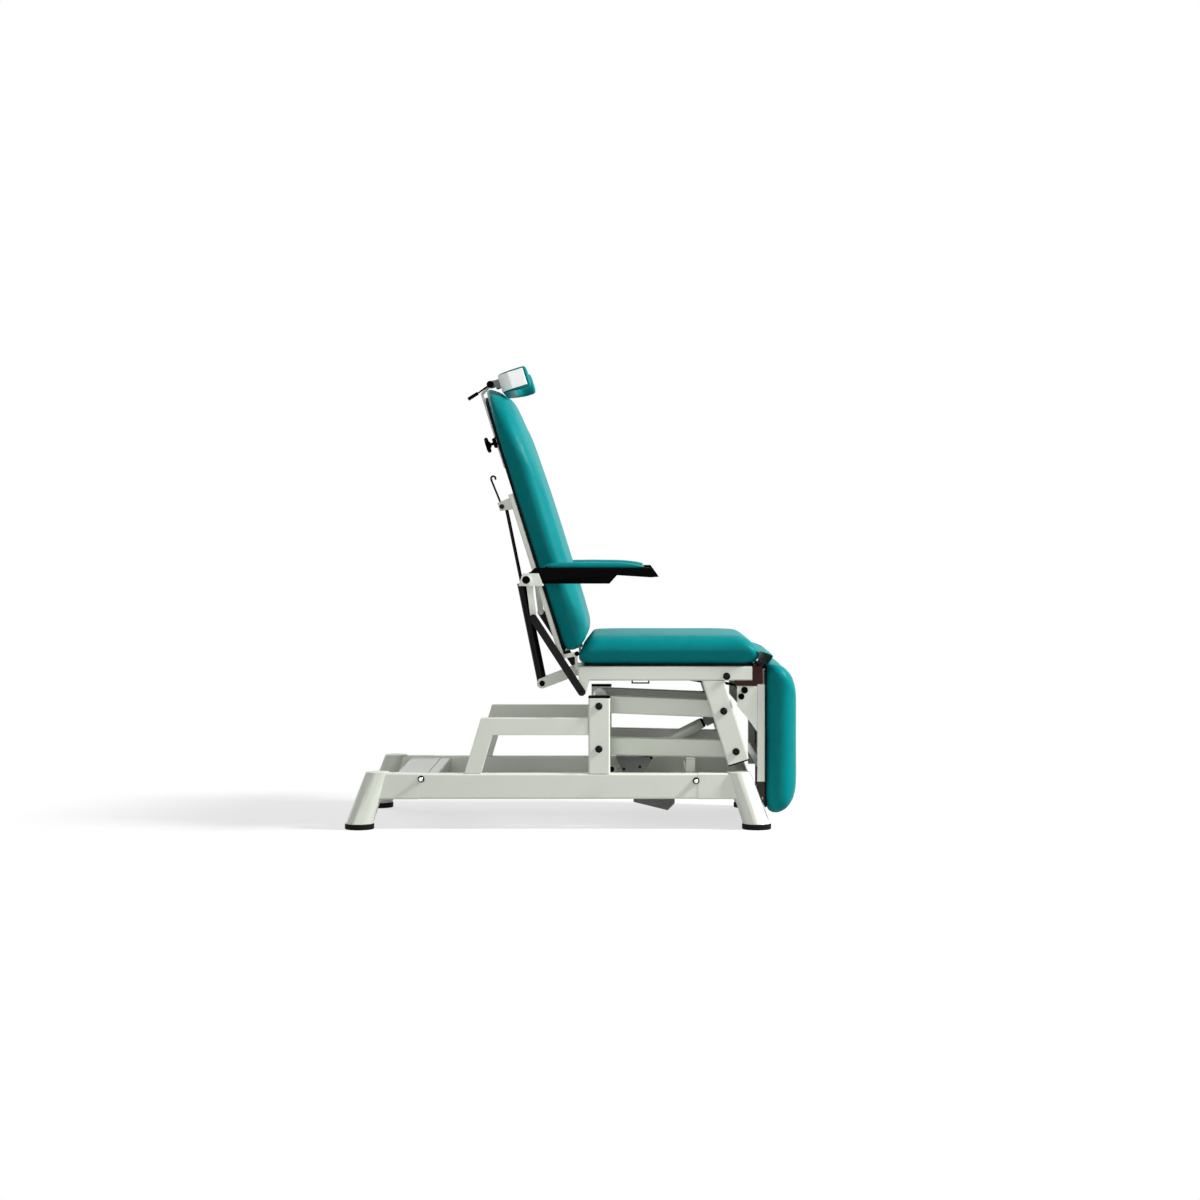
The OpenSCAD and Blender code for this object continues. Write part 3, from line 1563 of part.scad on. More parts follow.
module leg_cross_tubes() {
    inner = leg_plate_y;
    half = leg_ear_half;
    pin = leg_gas_front;
    color(paint) {
        for (z = leg_cross_z)
            tube_y(2 * (z == leg_cross_z[0] ? leg_frame_out - leg_frame_w : inner),
                   leg_tube_x + leg_tube_t / 2, z, leg_tube_t, leg_cross_h, frame_wall);
        two_sides() side_solid(leg_fork_y, leg_fork_y + leg_ear_t) {
            translate(pin) circle(r = half);
            polygon([
                [pin[0], pin[1] - half], [pin[0], pin[1] + half],
                [leg_tube_x, leg_cross_z[1] + leg_cross_h / 2],
                [leg_tube_x, leg_cross_z[1] - leg_cross_h / 2]
            ]);
        }
        y_rod(pin, hinge_pin_d / 2, -leg_fork_y, leg_fork_y);
    }
}

module leg_board() {
    color(black)
        translate([leg_board_x, -cushion_w / 2 + leg_board_inset,
                   leg_cushion_z + leg_board_inset])
            cube([leg_board_t, cushion_w - 2 * leg_board_inset,
                  leg_len - 2 * leg_board_inset]);
}

module leg_cushion() {
    color(vinyl) translate([leg_board_x + leg_board_t, 0, leg_cushion_z])
        rotate([0, 90, 0]) mirror([1, 0, 0])
            cushion(leg_len, cushion_w, leg_thick, leg_ring_shares,
                    leg_top_edge, leg_low_edge, leg_side_edge,
                    leg_corner_r, leg_corner_r, side_pull);
}

module leg_spring_rod() {
    reach = dist(leg_gas_rear, leg_gas_front);
    start = leg_gas_len - leg_gas_tuck;
    color(black) {
        difference() {
            union() {
                along(leg_gas_rear, leg_gas_front)
                    translate([0, 0, start]) cylinder(d = leg_gas_rod_d, h = reach - start);
                y_rod(leg_gas_front, leg_head_r, -leg_eye_t / 2, leg_eye_t / 2);
                y_rod(leg_grip, leg_grip_r, -leg_eye_t / 2, leg_eye_t / 2);
                side_solid(-leg_eye_t / 2, leg_eye_t / 2)
                    polygon([
                        leg_gas_front + [0, leg_head_r], leg_grip + [0, leg_grip_r],
                        leg_grip - [0, leg_grip_r], leg_gas_front - [0, leg_head_r]
                    ]);
            }
            for (p = [leg_gas_front, leg_grip])
                y_rod(p, hinge_pin_d / 2 + run_gap, -leg_eye_t, leg_eye_t);
        }
    }
}

module leg_release_lever() {
    side = leg_eye_t / 2 + gap;
    mid = side + leg_grip_t / 2;
    color(black) {
        y_rod(leg_grip, hinge_pin_d / 2, -side, side);
        y_rod(leg_grip, leg_grip_r, side, side + leg_grip_t / 2);
        y_rod(leg_grip, leg_grip_r, -side - leg_grip_t, -side);
        translate([0, -mid, 0]) {
            along(leg_grip, leg_grip_end)
                cylinder(d = leg_grip_d, h = dist(leg_grip, leg_grip_end));
            y_rod(leg_grip_end, leg_grip_t / 2, -leg_grip_len, leg_grip_t / 2);
        }
    }
}

module leg_spring_cylinder() {
    color(black) {
        along(leg_gas_rear, leg_gas_front) difference() {
            cylinder(d = leg_gas_d, h = leg_gas_len);
            translate([0, 0, leg_head_r])
                cylinder(d = leg_gas_d - 2 * leg_gas_wall,
                         h = leg_gas_len - 2 * leg_head_r);
            translate([0, 0, leg_head_r])
                cylinder(d = leg_gas_rod_d + 2 * run_gap, h = leg_gas_len);
        }
        y_rod(leg_gas_rear, leg_ear_half, -leg_ear_y + gap, leg_ear_y - gap);
    }
}

side_rails();
rail_sleeves();
feet();
foot_pads();
base_cross_tubes();
rear_cross_plate();
subframes();
posts();
base_caps();
rail_studs();
stop_posts();
base_bolts();
lower_arms();
lower_cross_tubes();
upper_arms();
upper_cross_tubes();
lift_motor();
lift_tube();
lift_rod();
carriage_legs();
carriage_leg_caps();
seat_side_tubes();
seat_cross_tubes();
seat_front_blocks();
seat_board();
seat_cushion();
wire_handle();
carriage_bolts();
back_spring_arm();
back_side_tubes();
spring_bracket();
back_board();
back_cushion();
headrest_guide();
back_spring_rod();
back_spring_cylinder();
release_lever();
headrest_bar();
headrest_knob();
headrest_block();
headrest_shell();
headrest_padding();
headrest_lever();
drop_arm(-1);  // drop_arm_right
drop_arm(1);  // drop_arm_left
armrest_bracket(-1);  // armrest_bracket_right
armrest_bracket(1);  // armrest_bracket_left
armrest_body(-1);  // armrest_body_right
armrest_body(1);  // armrest_body_left
armrest_pad(-1);  // armrest_pad_right
armrest_pad(1);  // armrest_pad_left
level_link(-1);  // level_link_right
level_link(1);  // level_link_left
leg_side_tubes();
leg_cross_tubes();
leg_board();
leg_cushion();
leg_spring_rod();
leg_spring_cylinder();
leg_release_lever();
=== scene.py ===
"""Dresses the examination chair: upholstery, painted tubes, moulded and bright parts."""
import json
import logging
import math
from dataclasses import dataclass, replace
from enum import Enum

import bmesh
import bpy
import numpy as np
from mathutils import Matrix, Vector

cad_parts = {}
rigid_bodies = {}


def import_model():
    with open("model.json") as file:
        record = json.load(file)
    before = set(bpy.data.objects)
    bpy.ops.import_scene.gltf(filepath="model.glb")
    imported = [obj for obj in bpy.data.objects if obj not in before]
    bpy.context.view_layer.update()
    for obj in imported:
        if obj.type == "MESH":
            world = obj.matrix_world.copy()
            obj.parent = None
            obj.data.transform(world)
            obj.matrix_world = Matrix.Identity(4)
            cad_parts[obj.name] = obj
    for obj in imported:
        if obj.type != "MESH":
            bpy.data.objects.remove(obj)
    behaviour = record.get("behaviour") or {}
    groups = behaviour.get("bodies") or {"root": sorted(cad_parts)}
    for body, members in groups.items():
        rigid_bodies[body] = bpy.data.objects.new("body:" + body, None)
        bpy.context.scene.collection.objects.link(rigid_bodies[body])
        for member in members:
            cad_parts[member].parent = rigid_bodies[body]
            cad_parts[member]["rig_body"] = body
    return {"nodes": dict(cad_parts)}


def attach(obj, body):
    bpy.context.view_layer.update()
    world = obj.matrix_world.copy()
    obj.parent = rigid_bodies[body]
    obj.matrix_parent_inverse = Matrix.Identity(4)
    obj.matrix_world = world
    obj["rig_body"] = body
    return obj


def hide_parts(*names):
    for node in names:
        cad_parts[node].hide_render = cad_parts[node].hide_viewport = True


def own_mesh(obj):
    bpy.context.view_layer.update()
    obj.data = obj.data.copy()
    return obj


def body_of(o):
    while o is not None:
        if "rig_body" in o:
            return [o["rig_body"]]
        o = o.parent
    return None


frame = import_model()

log = logging.getLogger("chair")

Colour = tuple[float, float, float]
Place = tuple[float, float, float]
Share = tuple[float, float, float, float]
Profile = tuple[tuple[float, float], ...]

MM = 0.001
BACK_LEAN = math.radians(17.5)
BACK_REF = Vector((0.018, 0.0, 0.487))
SIDES = ((-1, "right"), (1, "left"))


def back_point(n: float, y: float, u: float) -> Vector:
    """Turns a place in the back's own frame into one in the row frame.

    Args:
        n: Distance towards the sitter, in mm.
        y: Distance to the sitter's left, in mm.
        u: Distance up the back, in mm.

    Returns:
        The place in metres.
    """
    return BACK_REF + Vector((
        (n * math.cos(BACK_LEAN) - u * math.sin(BACK_LEAN)) * MM,
        y * MM,
        (n * math.sin(BACK_LEAN) + u * math.cos(BACK_LEAN)) * MM,
    ))


class Wire:
    """A value in a node tree; arithmetic on it adds Math nodes."""

    def __init__(self, sheet: "Sheet", socket: bpy.types.NodeSocket) -> None:
        """Wraps one output.

        Args:
            sheet: The tree that the output belongs to.
            socket: The output itself.
        """
        self.sheet = sheet
        self.socket = socket

    def _math(self, operation: str, *values: "Wire | float") -> "Wire":
        """Adds one Math node.

        Args:
            operation: The node's operation.
            values: Its inputs in order.

        Returns:
            The node's result.
        """
        settings = {"operation": operation}
        node = self.sheet.node("ShaderNodeMath", settings, dict(enumerate(values)))
        return Wire(self.sheet, node.outputs[0])

    def __add__(self, other: "Wire | float") -> "Wire":
        """Returns the sum."""
        return self._math("ADD", self, other)

    def __radd__(self, other: float) -> "Wire":
        """Returns the sum, with the plain number first."""
        return self._math("ADD", other, self)

    def __sub__(self, other: "Wire | float") -> "Wire":
        """Returns the difference."""
        return self._math("SUBTRACT", self, other)

    def __rsub__(self, other: float) -> "Wire":
        """Returns a plain number less this value."""
        return self._math("SUBTRACT", other, self)

    def __mul__(self, other: "Wire | float") -> "Wire":
        """Returns the product."""
        return self._math("MULTIPLY", self, other)

    def __rmul__(self, other: float) -> "Wire":
        """Returns the product, with the plain number first."""
        return self._math("MULTIPLY", other, self)

    def cos(self) -> "Wire":
        """Returns the cosine."""
        return self._math("COSINE", self)

    def sin(self) -> "Wire":
        """Returns the sine."""
        return self._math("SINE", self)

    def ramp(self, low: float, high: float) -> "Wire":
        """Rises smoothly from 0 at low to 1 at high.

        Args:
            low: The value where the ramp starts.
            high: The value where it ends.

        Returns:
            The ramp, held between 0 and 1.
        """
        node = self.sheet.node(
            "ShaderNodeMapRange", {"interpolation_type": "SMOOTHSTEP"},
            {"Value": self, "From Min": low, "From Max": high},
        )
        return Wire(self.sheet, node.outputs["Result"])


class Sheet:
    """A node tree that is being drawn."""

    def __init__(self, tree: bpy.types.NodeTree) -> None:
        """Starts with an empty tree.

        Args:
            tree: The tree; its nodes are removed.
        """
        self.tree = tree
        self.tree.nodes.clear()

    def feed(self, socket: bpy.types.NodeSocket, value: object) -> None:
        """Links or sets one input.

        Args:
            socket: The input.
            value: A wire, an output, a colour or a plain value.
        """
        if isinstance(value, Wire):
            value = value.socket
        if isinstance(value, bpy.types.NodeSocket):
            self.tree.links.new(value, socket)
        elif socket.type == "RGBA":
            socket.default_value = (*value, 1.0)
        else:
            socket.default_value = value

    def node(
        self, kind: str, settings: dict | None = None, inputs: dict | None = None
    ) -> bpy.types.Node:
        """Adds any node: its type, its settings first, then its inputs.

        Args:
            kind: The node's type.
            settings: Properties by name.
            inputs: Values, wires or outputs by input name or number.

        Returns:
            The node.
        """
        node = self.tree.nodes.new(kind)
        for key, value in (settings or {}).items():
            setattr(node, key, value)
        for key, value in (inputs or {}).items():
            self.feed(node.inputs[key], value)
        return node

    def seen(self) -> Wire:
        """Tells the camera's rays, and those that a mirror or glass sends on, from the rest.

        Returns:
            1 or more for those rays, and 0 for the light that falls on things.
        """
        rays = self.node("ShaderNodeLightPath").outputs
        glossy = Wire(self, rays["Is Glossy Ray"])
        return Wire(self, rays["Is Camera Ray"]) + glossy + Wire(self, rays["Is Transmission Ray"])


class Graph(Sheet):
    """The node tree of one material, with its main shader ready."""

    def __init__(self, name: str) -> None:
        """Starts an empty material.

        Args:
            name: The material's name.
        """
        self.material = bpy.data.materials.new(name)
        self.material.use_nodes = True
        super().__init__(self.material.node_tree)
        self.shader = self.node("ShaderNodeBsdfPrincipled")
        self.output = self.node("ShaderNodeOutputMaterial", inputs={0: self.shader.outputs[0]})
        self.place = self.node("ShaderNodeTexCoord").outputs["Object"]

    def height(self) -> Wire:
        """Returns the height above the floor, in metres."""
        split = self.node("ShaderNodeSeparateXYZ", inputs={0: self.place})
        return Wire(self, split.outputs["Z"])

    def noise(self, scale: float, detail: float = 3.0, rough: float = 0.55) -> Wire:
        """Adds a cloudy pattern.

        Args:
            scale: Features per metre.
            detail: Number of finer layers.
            rough: Strength of the finer layers.

        Returns:
            The pattern, about 0.5 on average.
        """
        inputs = {"Vector": self.place, "Scale": scale, "Detail": detail, "Roughness": rough}
        return Wire(self, self.node("ShaderNodeTexNoise", inputs=inputs).outputs["Fac"])

    def cells(self, scale: float) -> Wire:
        """Adds a cell pattern.

        Args:
            scale: Cells per metre.

        Returns:
            The distance to the nearest cell's middle.
        """
        node = self.node("ShaderNodeTexVoronoi", inputs={"Vector": self.place, "Scale": scale})
        return Wire(self, node.outputs["Distance"])

    def blend(self, amount: "Wire | float", first: object, second: object) -> Wire:
        """Mixes two colours.

        Args:
            amount: Share of the second colour.
            first: A colour or a wire.
            second: A colour or a wire.

        Returns:
            The mixed colour.
        """
        inputs = {0: amount, 6: first, 7: second}
        return Wire(self, self.node("ShaderNodeMix", {"data_type": "RGBA"}, inputs).outputs[2])

    def bump(self, height: Wire, depth: float, strength: float = 1.0) -> None:
        """Presses a height pattern into the surface.

        Args:
            height: The pattern, from 0 to 1.
            depth: Its depth in metres.
            strength: How strongly it shades.
        """
        inputs = {"Height": height, "Distance": depth, "Strength": strength}
        self.put("Normal", self.node("ShaderNodeBump", inputs=inputs).outputs["Normal"])

    def put(self, key: str, value: object) -> None:
        """Sets or links one input of the main shader.

        Args:
            key: The input's name.
            value: A number, colour, wire or output.
        """
        self.feed(self.shader.inputs[key], value)


@dataclass(frozen=True)
class Vinyl:
    """Teal artificial leather with a fine grain."""

    name: str = "teal_vinyl"
    deep: Colour = (0.000, 0.168, 0.176)
    light: Colour = (0.000, 0.190, 0.199)
    cloud_per_m: float = 5.0
    mottle_per_m: float = 46.0
    crease_per_m: float = 210.0
    grain_per_m: float = 640.0
    grain_depth: float = 0.00022
    roughness: float = 0.40
    coat_roughness: float = 0.30
    shine: float = 0.05

    def make(self) -> bpy.types.Material:
        """Draws the finish.

        Returns:
            The material.
        """
        g = Graph(self.name)
        cloud = g.noise(self.cloud_per_m, 4.0)
        mottle = g.noise(self.mottle_per_m, 3.0)
        shade = (cloud * 0.7 + mottle * 0.3).ramp(0.34, 0.66)
        g.put("Base Color", g.blend(shade, self.deep, self.light))
        pores = g.cells(self.grain_per_m)
        creases = g.noise(self.crease_per_m, 5.0, 0.62)
        g.put("Roughness", self.roughness + cloud * 0.05 + pores * 0.08)
        g.put("Coat Weight", 0.01 + mottle * 0.03)
        g.put("Coat Roughness", self.coat_roughness)
        g.put("Specular IOR Level", self.shine)
        g.bump(pores * 0.65 + creases * 0.35, self.grain_depth, 0.55)
        return g.material


@dataclass(frozen=True)
class Paint:
    """Baked powder coat with faint orange peel and handling marks."""

    name: str = "powder_coat"
    colour: Colour = (0.680, 0.715, 0.632)
    dust: Colour = (0.540, 0.555, 0.500)
    dust_low: float = 0.02
    dust_high: float = 0.20
    cloud_per_m: float = 9.0
    peel_per_m: float = 520.0
    peel_depth: float = 0.00010
    roughness: float = 0.30
    coat: float = 0.22
    coat_roughness: float = 0.16

    def make(self) -> bpy.types.Material:
        """Draws the finish.

        Returns:
            The material.
        """
        g = Graph(self.name)
        low = 1.0 - g.height().ramp(self.dust_low, self.dust_high)
        cloud = g.noise(self.cloud_per_m, 5.0, 0.6)
        smudge = cloud.ramp(0.52, 0.74) * (0.10 + low * 0.28)
        g.put("Base Color", g.blend(smudge, self.colour, self.dust))
        g.put("Roughness", self.roughness + cloud * 0.10 + low * 0.08)
        g.put("Coat Weight", self.coat - smudge * 0.3)
        g.put("Coat Roughness", self.coat_roughness)
        g.bump(g.noise(self.peel_per_m, 2.0), self.peel_depth, 0.45)
        return g.material


@dataclass(frozen=True)
class Moulded:
    """Moulded plastic or rubber with a fine spark texture."""

    name: str
    colour: Colour
    roughness: float
    texture_per_m: float = 900.0
    depth: float = 0.00012
    shine: float = 0.16
    cloud_per_m: float = 14.0

    def make(self) -> bpy.types.Material:
        """Draws the finish.

        Returns:
            The material.
        """
        g = Graph(self.name)
        cloud = g.noise(self.cloud_per_m, 4.0)
        lighter = tuple(c * 1.25 + 0.001 for c in self.colour)
        g.put("Base Color", g.blend(cloud.ramp(0.40, 0.75) * 0.5, self.colour, lighter))
        g.put("Roughness", self.roughness - 0.06 + cloud * 0.14)
        g.put("Specular IOR Level", self.shine)
        g.bump(g.noise(self.texture_per_m, 3.0, 0.7), self.depth, 0.5)
        return g.material


@dataclass(frozen=True)
class Metal:
    """Bare or blackened metal with drawing marks."""

    name: str
    colour: Colour
    roughness: float
    metallic: float
    shine: float
    cloud_per_m: float = 24.0
    marks_per_m: float = 700.0
    mark_depth: float = 0.00004

    def make(self) -> bpy.types.Material:
        """Draws the finish.

        Returns:
            The material.
        """
        g = Graph(self.name)
        cloud = g.noise(self.cloud_per_m, 4.0)
        marks = g.noise(self.marks_per_m, 2.0, 0.7)
        darker = tuple(c * 0.72 for c in self.colour)
        g.put("Base Color", g.blend(cloud.ramp(0.45, 0.80) * 0.6, self.colour, darker))
        g.put("Metallic", self.metallic)
        g.put("Specular IOR Level", self.shine)
        g.put("Roughness", self.roughness + marks * 0.10 + cloud * 0.06 - 0.06)
        g.bump(marks, self.mark_depth, 0.35)
        return g.material


@dataclass(frozen=True)
class Ply:
    """Board with a long grain, coloured near black as painted shade so its edge reads as the dark
    line under the cushions.
    """

    name: str = "shade_dark_board"
    # Near-black colour and vein are painted shade: the board's edge stands in for the shadow line
    # along the cushions.
    colour: Colour = (0.006, 0.005, 0.0045)
    vein: Colour = (0.012, 0.010, 0.008)
    stretch: Place = (8.0, 60.0, 8.0)
    roughness: float = 0.60
    shine: float = 0.08
    grain_depth: float = 0.0003

    def make(self) -> bpy.types.Material:
        """Draws the finish.

        Returns:
            The material.
        """
        g = Graph(self.name)
        drawn = g.node("ShaderNodeMapping", inputs={"Vector": g.place, "Scale": self.stretch})
        grain = g.node(
            "ShaderNodeTexNoise",
            inputs={"Vector": drawn.outputs[0], "Scale": 4.0, "Detail": 6.0, "Distortion": 0.8},
        )
        wave = Wire(g, grain.outputs["Fac"])
        g.put("Base Color", g.blend(wave.ramp(0.45, 0.62), self.colour, self.vein))
        g.put("Roughness", self.roughness + wave * 0.2)
        g.put("Specular IOR Level", self.shine)
        g.bump(wave, self.grain_depth, 0.5)
        return g.material


class Slot(Enum):
    """The record's material slots."""

    PAINT = "paint"
    VINYL = "vinyl"
    BLACK = "black_plastic"
    RUBBER = "black_rubber"
    BLACK_STEEL = "black_steel"
    STEEL = "steel"
    GREY = "grey_plastic"
    WHITE = "white_plastic"
    BOARD = "board"


class Palette:
    """Every finish of the chair, made once."""

    def __init__(self) -> None:
        """Makes the materials."""
        finishes = {
            Slot.PAINT: Paint(),
            Slot.VINYL: Vinyl(),
            Slot.BLACK: Moulded("black_moulding", (0.0010, 0.0009, 0.0009), 0.50, shine=0.02),
            Slot.RUBBER: Moulded("black_rubber", (0.004, 0.004, 0.004), 0.70, 620.0, 0.0002, 0.10),
            Slot.BLACK_STEEL: Metal("blackened_steel", (0.0025, 0.0024, 0.0024), 0.38, 0.0, 0.10),
            Slot.STEEL: Metal("bright_steel", (0.62, 0.62, 0.61), 0.22, 1.0, 0.5),
            Slot.GREY: Moulded("grey_moulding", (0.25, 0.26, 0.25), 0.46, shine=0.3),
            Slot.WHITE: Moulded("white_moulding", (0.96, 0.965, 0.96), 0.40, 160.0, 0.00001, 0.4),
            Slot.BOARD: Ply(),
        }
        self.by_slot = {slot: finish.make() for slot, finish in finishes.items()}

    def settle(self, obj: bpy.types.Object, body: str, slot: Slot, *nodes: str) -> None:
        """Gives a piece its finish and its body.

        Args:
            obj: The piece.
            body: The body that it rides on.
            slot: Its finish.
            nodes: The nodes that it stands for.
        """
        obj.data.materials.clear()
        obj.data.materials.append(self.by_slot[slot])
        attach(obj, body)
        if nodes:
            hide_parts(*nodes)
        log.info("%s: %d vertices", obj.name, len(obj.data.vertices))


def add_object(name: str, mesh: bpy.types.Mesh) -> bpy.types.Object:
    """Adds an object for a mesh, at the origin.

    Args:
        name: The object's name.
        mesh: The mesh in the row frame, in metres.

    Returns:
        The object.
    """
    obj = bpy.data.objects.new(name, mesh)
    bpy.context.scene.collection.objects.link(obj)
    return obj


def make_object(name: str, bm: bmesh.types.BMesh) -> bpy.types.Object:
    """Turns a bmesh into an object at the origin.

    Args:
        name: The object's name.
        bm: The mesh in the row frame, in metres; it is freed.

    Returns:
        The object.
    """
    bmesh.ops.recalc_face_normals(bm, faces=bm.faces)
    mesh = bpy.data.meshes.new(name)
    bm.to_mesh(mesh)
    bm.free()
    return add_object(name, mesh)


def join_rows(bm: bmesh.types.BMesh, rows: list[list[bmesh.types.BMVert]], closed: bool) -> None:
    """Fills the faces between rows of as many points each.

    Args:
        bm: The mesh.
        rows: The rows in order.
        closed: Whether each row ends where it starts.
    """
    count = len(rows[0])
    for low, high in zip(rows, rows[1:]):
        for i in range(count if closed else count - 1):
            j = (i + 1) % count
            bm.faces.new((low[i], low[j], high[j], high[i]))


def apply_modifiers(obj: bpy.types.Object) -> None:
    """Bakes an object's modifiers into its mesh.

    Args:
        obj: The object.
    """
    graph = bpy.context.evaluated_depsgraph_get()
    mesh = bpy.data.meshes.new_from_object(obj.evaluated_get(graph))
    obj.modifiers.clear()
    old = obj.data
    obj.data = mesh
    bpy.data.meshes.remove(old)


def smooth_by_angle(obj: bpy.types.Object, degrees: float = 32.0) -> None:
    """Shades smooth, with sharp edges kept where faces meet at an angle.

    Args:
        obj: The object.
        degrees: The least angle of a sharp edge.
    """
    mesh = obj.data
    mesh.polygons.foreach_set("use_smooth", [True] * len(mesh.polygons))
    mesh.set_sharp_from_angle(angle=math.radians(degrees))


def even_normals(obj: bpy.types.Object) -> None:
    """Weights the normals by face size, so flat faces shade flat beside soft edges.

    Args:
        obj: The object, already shaded smooth.
    """
    mod = obj.modifiers.new("Weights", "WEIGHTED_NORMAL")
    mod.keep_sharp = True
    mod.weight = 80
    apply_modifiers(obj)


def subdivide(obj: bpy.types.Object) -> None:
    """Divides every face once, smoothly.

    Args:
        obj: The object; its other modifiers are baked in first.
    """
    fine = obj.modifiers.new("Fine", "SUBSURF")
    fine.levels = fine.render_levels = 1
    apply_modifiers(obj)


@dataclass(frozen=True)
class Refiner:
    """Makes a fine copy of a CAD node, in metres: clean faces, softened edges."""

    palette: Palette
    weld: float = 1e-5
    flat_degrees: float = 0.6
    edge_degrees: float = 34.0
    segments: int = 2

    def refine(self, node: str, slot: Slot, edge: float) -> bpy.types.Object:
        """Builds the copy that stands for a node.

        Args:
            node: The node's name.
            slot: Its finish.
            edge: Width of the softened edges, in mm.

        Returns:
            The copy, riding on the node's body.
        """
        source = frame["nodes"][node]
        bm = bmesh.new()
        bm.from_mesh(source.data)
        bmesh.ops.remove_doubles(bm, verts=bm.verts, dist=self.weld)
        flat = math.radians(self.flat_degrees)
        bmesh.ops.dissolve_limit(bm, angle_limit=flat, verts=bm.verts, edges=bm.edges)
        obj = make_object(f"{node}_fine", bm)
        mod = obj.modifiers.new("Edges", "BEVEL")
        mod.width = edge * MM
        mod.segments = self.segments
        mod.limit_method = "ANGLE"
        mod.angle_limit = math.radians(self.edge_degrees)
        mod.use_clamp_overlap = True
        mod.harden_normals = False
        apply_modifiers(obj)
        smooth_by_angle(obj)
        even_normals(obj)
        self.palette.settle(obj, body_of(source)[0], slot, node)
        return obj


def read_points(mesh: bpy.types.Mesh, key: str = "co") -> np.ndarray:
    """Reads one vector of every point of a mesh.

    Args:
        mesh: The mesh.
        key: The vector's name.

    Returns:
        One row for each point.
    """
    values = np.empty(len(mesh.vertices) * 3)
    mesh.vertices.foreach_get(key, values)
    return values.reshape(-1, 3)


@dataclass(frozen=True)
class Blow:
    """Fills a closed form out as cloth, and mixes the result with the drawn form.

    The voxel, the cap on each point's move and the first shrinking are in mm.
    """

    voxel: float
    cap: float
    shrink: float
    share: float = 0.42
    soften: float = 0.5
    soften_times: int = 3
    pressure: float = 4.0
    stiffness: float = 40.0
    bending: float = 4.0
    quality: int = 4
    frames: int = 20

    def finish(self, obj: bpy.types.Object) -> None:
        """Remeshes the form, blows it up and divides its faces once.

        Args:
            obj: The closed form, in place.
        """
        self._remesh(obj)
        mesh = obj.data
        inset = read_points(mesh, "normal") * self.shrink * MM
        start = read_points(mesh) - inset
        drawn = start + inset
        mesh.vertices.foreach_set("co", start.ravel())
        blown = start + self._swell(obj, start)
        points = drawn + (blown - drawn) * self.share
        mesh.vertices.foreach_set("co", points.ravel())
        subdivide(obj)
        obj.data.polygons.foreach_set("use_smooth", [True] * len(obj.data.polygons))

    def _remesh(self, obj: bpy.types.Object) -> None:
        """Covers the form with even faces and softens it a little.

        Args:
            obj: The closed form.
        """
        remesh = obj.modifiers.new("Remesh", "REMESH")
        remesh.mode = "VOXEL"
        remesh.voxel_size = self.voxel * MM
        smooth = obj.modifiers.new("Smooth", "SMOOTH")
        smooth.factor = self.soften
        smooth.iterations = self.soften_times
        apply_modifiers(obj)

    def _swell(self, obj: bpy.types.Object, start: np.ndarray) -> np.ndarray:
        """Runs the cloth and reads how far each point moved.

        Args:
            obj: The shrunken form.
            start: Its points.

        Returns:
            The moves, held to the cap, in metres.
        """
        cloth = obj.modifiers.new("Blow", "CLOTH").settings
        cloth.use_pressure = True
        cloth.uniform_pressure_force = self.pressure
        cloth.effector_weights.gravity = 0.0
        cloth.tension_stiffness = self.stiffness
        cloth.compression_stiffness = self.stiffness
        cloth.bending_stiffness = self.bending
        cloth.quality = self.quality
        scene = bpy.context.scene
        for number in range(1, self.frames + 1):
            scene.frame_set(number)
        graph = bpy.context.evaluated_depsgraph_get()
        step = read_points(obj.evaluated_get(graph).data) - start
        obj.modifiers.clear()
        scene.frame_set(1)
        length = np.linalg.norm(step, axis=1, keepdims=True)
        return step * np.minimum(1.0, self.cap * MM / np.maximum(length, 1e-9))


@dataclass(frozen=True)
class Dent:
    """Where the back's two hinge ears press a cushion's rear edge in, in mm."""

    side: float
    reach: float
    depth: float
    slope: float = 0.8

    def press(self, obj: bpy.types.Object) -> None:
        """Presses the edge in on both sides.

        Args:
            obj: The finished padding, in the row frame.
        """
        for vertex in obj.data.vertices:
            aside = abs(abs(vertex.co.y) / MM - self.side)
            if aside < 2 * self.reach:
                limit = (self.depth - max(0.0, aside - self.reach) * self.slope) * MM
                vertex.co.x = max(vertex.co.x, limit)


class Stand(Enum):
    """How a cushion's own frame lies in the row frame."""

    FLAT = "flat"
    UPRIGHT = "upright"
    LEANING = "leaning"

    def place(self, at: Place) -> Matrix:
        """Turns the cushion's own frame into the row frame.

        Args:
            at: The frame's start in metres; a leaning one is measured in the back's frame.

        Returns:
            The placing matrix.
        """
        corner = Matrix.Translation(at)
        if self is Stand.FLAT:
            return corner
        upright = Matrix(((0, 0, 1, 0), (0, 1, 0, 0), (1, 0, 0, 0), (0, 0, 0, 1)))
        if self is Stand.UPRIGHT:
            return corner @ upright
        lean = Matrix.Translation(BACK_REF) @ Matrix.Rotation(-BACK_LEAN, 4, "Y")
        return lean @ corner @ upright


SEAT_SHARES: tuple[Share, ...] = (
    (0.00, 0.52, 0.30, 0.74), (0.06, 0.26, 0.10, 0.52), (0.17, 0.06, 0.01, 0.28),
    (0.32, 0.00, 0.02, 0.09), (0.48, 0.10, 0.18, 0.01), (0.63, 0.31, 0.42, 0.09),
    (0.77, 0.58, 0.66, 0.34), (0.88, 0.90, 0.84, 0.80), (0.95, 1.34, 1.05, 1.50),
    (0.99, 2.20, 2.60, 3.10),
)
BACK_SHARES: tuple[Share, ...] = (
    (0.00, 0.02, 0.50, 0.70), (0.06, 0.00, 0.20, 0.50), (0.20, 0.01, 0.06, 0.26),
    (0.34, 0.05, 0.00, 0.09), (0.48, 0.09, 0.16, 0.02), (0.63, 0.16, 0.42, 0.10),
    (0.77, 0.24, 0.80, 0.38), (0.88, 0.52, 1.40, 0.86), (0.95, 0.70, 2.30, 1.56),
    (0.99, 1.04, 4.20, 3.10),
)
